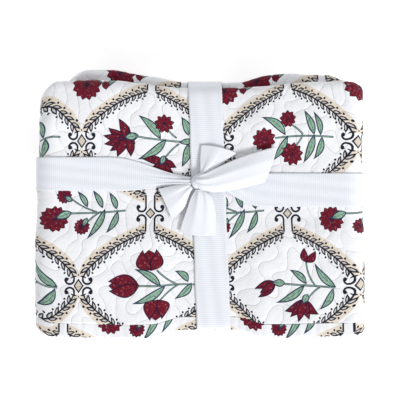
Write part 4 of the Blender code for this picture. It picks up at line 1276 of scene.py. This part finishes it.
def smooth_rows(table, count):
    """The table's rows with count stops, by a cubic through them with slopes from neighbours."""
    slope = np.gradient(table, axis=0)
    t = np.linspace(0.0, len(table) - 1.0, count)
    k = np.minimum(t.astype(int), len(table) - 2)
    f = (t - k)[:, None]
    return (
        table[k] * (1 + 2 * f) * (1 - f) ** 2
        + slope[k] * f * (1 - f) ** 2
        + table[k + 1] * f**2 * (3 - 2 * f)
        + slope[k + 1] * f**2 * (f - 1)
    )


def build_tail(name):
    """Arched cross-rows: lift + arch * 4 s (1 - s) + folds * cos(2 pi n s + p), s across."""
    rows, columns = 56, 33
    table = dict(zip(TAIL_COLUMNS, smooth_rows(np.array(TAILS[name]), rows).T[..., None]))
    left = np.concatenate([table["left_x"], table["left_y"]], axis=1)
    right = np.concatenate([table["right_x"], table["right_y"]], axis=1)
    s = np.linspace(0.0, 1.0, columns)
    flat = left[:, None] + (right - left)[:, None] * s[None, :, None]
    heading = np.gradient((left + right) / 2, axis=0)
    heading /= np.linalg.norm(heading, axis=1)[:, None]
    bulge = 4 * s * (1.0 - s)
    flat = flat + heading[:, None] * (table["ahead"] * bulge)[..., None]
    count, phase = TAIL_FOLDS[name]
    out = np.linspace(0.0, 1.0, rows)[:, None]
    folds = FOLD_HEIGHT * np.exp(-out * 1.6) * np.cos(2 * np.pi * count * s + phase)
    folds = folds * np.minimum(1, out * 8)
    fine = FINE_FOLD_HEIGHT * np.exp(-out * 3.0) * np.cos(2 * np.pi * 5.3 * s + phase)
    z = face_height(flat[..., 0], flat[..., 1]) + table["lift"]
    z = z + table["arch"] * bulge + folds + fine
    grid = np.concatenate([flat, z[..., None]], axis=2)
    length_at = walk_lengths(grid[:, columns // 2])
    width_at = np.broadcast_to((s - 0.5) * 0.055, (rows, columns))
    piece = name.replace("tail", "sash_end")
    made = ribbon(piece, grid, length_at, width_at, material=end_material)
    return made, length_at[-1]


tails = {name: build_tail(name) for name in TAILS}
print(len(tails), "free ends are made")

# %% Build the knot's wrap
KNOT_HALF_LENGTH = 0.0115
KNOT_HALF_WIDTH = 0.0086
KNOT_HALF_HEIGHT = 0.0061
KNOT_MIDDLE_UP = 0.00625
KNOT_TURN = 0.35


def build_knot():
    """A rounded bar: |cos a|^0.85 along it, and sin(a)^0.75 times 1 + pleats round it."""
    bottom = float(face_height(np.array(KNOT_X), np.array(KNOT_Y))) + SASH_THICKNESS + 2 * PIECE_GAP
    around = np.linspace(0.0, 2 * np.pi, 64, endpoint=False)[None, :]
    along = np.linspace(0.0, np.pi, 41)[1:-1, None]
    pleat = 1.0 + 0.035 * np.cos(9 * around + 0.6) * np.sin(along) + 0.02 * np.cos(4 * around)
    x = KNOT_HALF_LENGTH * np.sign(np.cos(along)) * np.abs(np.cos(along)) ** 0.85
    radius = np.sin(along) ** 0.75 * pleat
    y = KNOT_HALF_WIDTH * radius * np.cos(around)
    z = KNOT_HALF_HEIGHT * radius * np.sign(np.sin(around)) * np.abs(np.sin(around)) ** 0.9
    places = np.stack(
        [
            KNOT_X + x * math.cos(KNOT_TURN) - y * math.sin(KNOT_TURN),
            KNOT_Y + x * math.sin(KNOT_TURN) + y * math.cos(KNOT_TURN),
            bottom + KNOT_MIDDLE_UP + z,
        ],
        axis=-1,
    )
    rows, columns = places.shape[:2]
    faces = grid_faces(rows, columns, closed_columns=True).tolist()
    ends = np.array([places[0].mean(axis=0), places[-1].mean(axis=0)])
    top, tail = rows * columns, rows * columns + 1
    last = (rows - 1) * columns
    faces += [(top, k, (k + 1) % columns) for k in range(columns)]
    faces += [(last + (k + 1) % columns, last + k, tail) for k in range(columns)]
    u, v = np.broadcast_arrays(0.008 * around, 0.02 * along / np.pi)
    uv = np.stack([np.append(u, [0.0, 0.0]), np.append(v, [0.0, 0.02])], axis=1)
    places = np.vstack([places.reshape(-1, 3), ends])
    return mesh_object("sash_knot", places, faces, uv, [sash_material])


knot = build_knot()
print("the knot has", len(knot.data.polygons), "faces")

# %% [markdown]
# ## Which part each piece stands for
# Every piece moves with the one body and takes the place of its plain solid. The table also lists
# what kind of cloth each is, and the free ends print how much ribbon they were cut from.

# %% Tie the pieces to the part
STANDS_FOR = {
    quilt: ("quilt", "printed_cotton"),
    binding_outer: ("binding_outer", "binding_cotton"),
    binding_inner: ("binding_inner", "binding_cotton"),
    long_band: ("band_long", "ribbed_sash"),
    cross_band: ("band_cross", "ribbed_sash"),
    knot: ("knot", "ribbed_sash"),
}
for name, (made, _) in tails.items():
    STANDS_FOR[made] = (name, "ribbed_sash")
for made, (node, slot) in STANDS_FOR.items():
    made.data.transform(Matrix.Translation((0.0, -MIDDLE_Y, 0.0)))
    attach(made, "root")
    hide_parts(node)
for name, (made, length) in tails.items():
    print(name, "is cut from", round(length * 1000), "mm of ribbon")

# %% [markdown]
# ## Floor, camera and light
# The bundle lies on a plain pale floor and is seen from straight above. Soft light falls
# from above and from the near right, so the sash's edges cast short soft shadows to the upper left.

# %% Stage, camera and lights
VIEW_WIDTH = 0.494
VIEW_MIDDLE_Y = 0.0062
VIEW_HEIGHT = 0.095


def studio_floor():
    """A plain pale floor, six metres square, that glows a little so that it stays white."""
    bpy.ops.mesh.primitive_plane_add(size=6.0, location=(0.0, 0.0, 0.0))
    floor = bpy.context.object
    floor.name = "floor"
    paint = bpy.data.materials.new("pale_floor")
    paint.use_nodes = True
    shader = paint.node_tree.nodes["Principled BSDF"]
    shader.inputs["Base Color"].default_value = (0.96, 0.96, 0.96, 1.0)
    shader.inputs["Roughness"].default_value = 0.9
    shader.inputs["Emission Color"].default_value = (1.0, 1.0, 1.0, 1.0)
    shader.inputs["Emission Strength"].default_value = 0.45
    floor.data.materials.append(paint)


def daylight(towards, strength, softness):
    """A sun lamp shining along the direction towards, its disc softness radians wide."""
    lamp = bpy.data.lights.new("window light", "SUN")
    lamp.energy = strength
    lamp.angle = softness
    made = bpy.data.objects.new("window light", lamp)
    bpy.context.scene.collection.objects.link(made)
    made.rotation_euler = Vector(towards).to_track_quat("-Z", "Y").to_euler()


studio_floor()
daylight((-1.0, 1.05, -1.15), 2.20, 0.30)
bpy.context.scene.view_settings.view_transform = "Standard"
world = bpy.data.worlds.new("studio")
world.use_nodes = True
world.node_tree.nodes["Background"].inputs["Color"].default_value = (1.0, 1.0, 1.0, 1.0)
world.node_tree.nodes["Background"].inputs["Strength"].default_value = 0.60
bpy.context.scene.world = world

camera = bpy.data.cameras.new("camera")
camera.lens = 85.0
camera.sensor_width = 36.0
camera_object = bpy.data.objects.new("camera", camera)
bpy.context.scene.collection.objects.link(camera_object)
DISTANCE = VIEW_WIDTH * camera.lens / camera.sensor_width
camera_object.location = (0.0, VIEW_MIDDLE_Y - MIDDLE_Y, VIEW_HEIGHT + DISTANCE)
bpy.context.scene.camera = camera_object
print("the camera looks straight down from", round(VIEW_HEIGHT + DISTANCE, 2), "m")
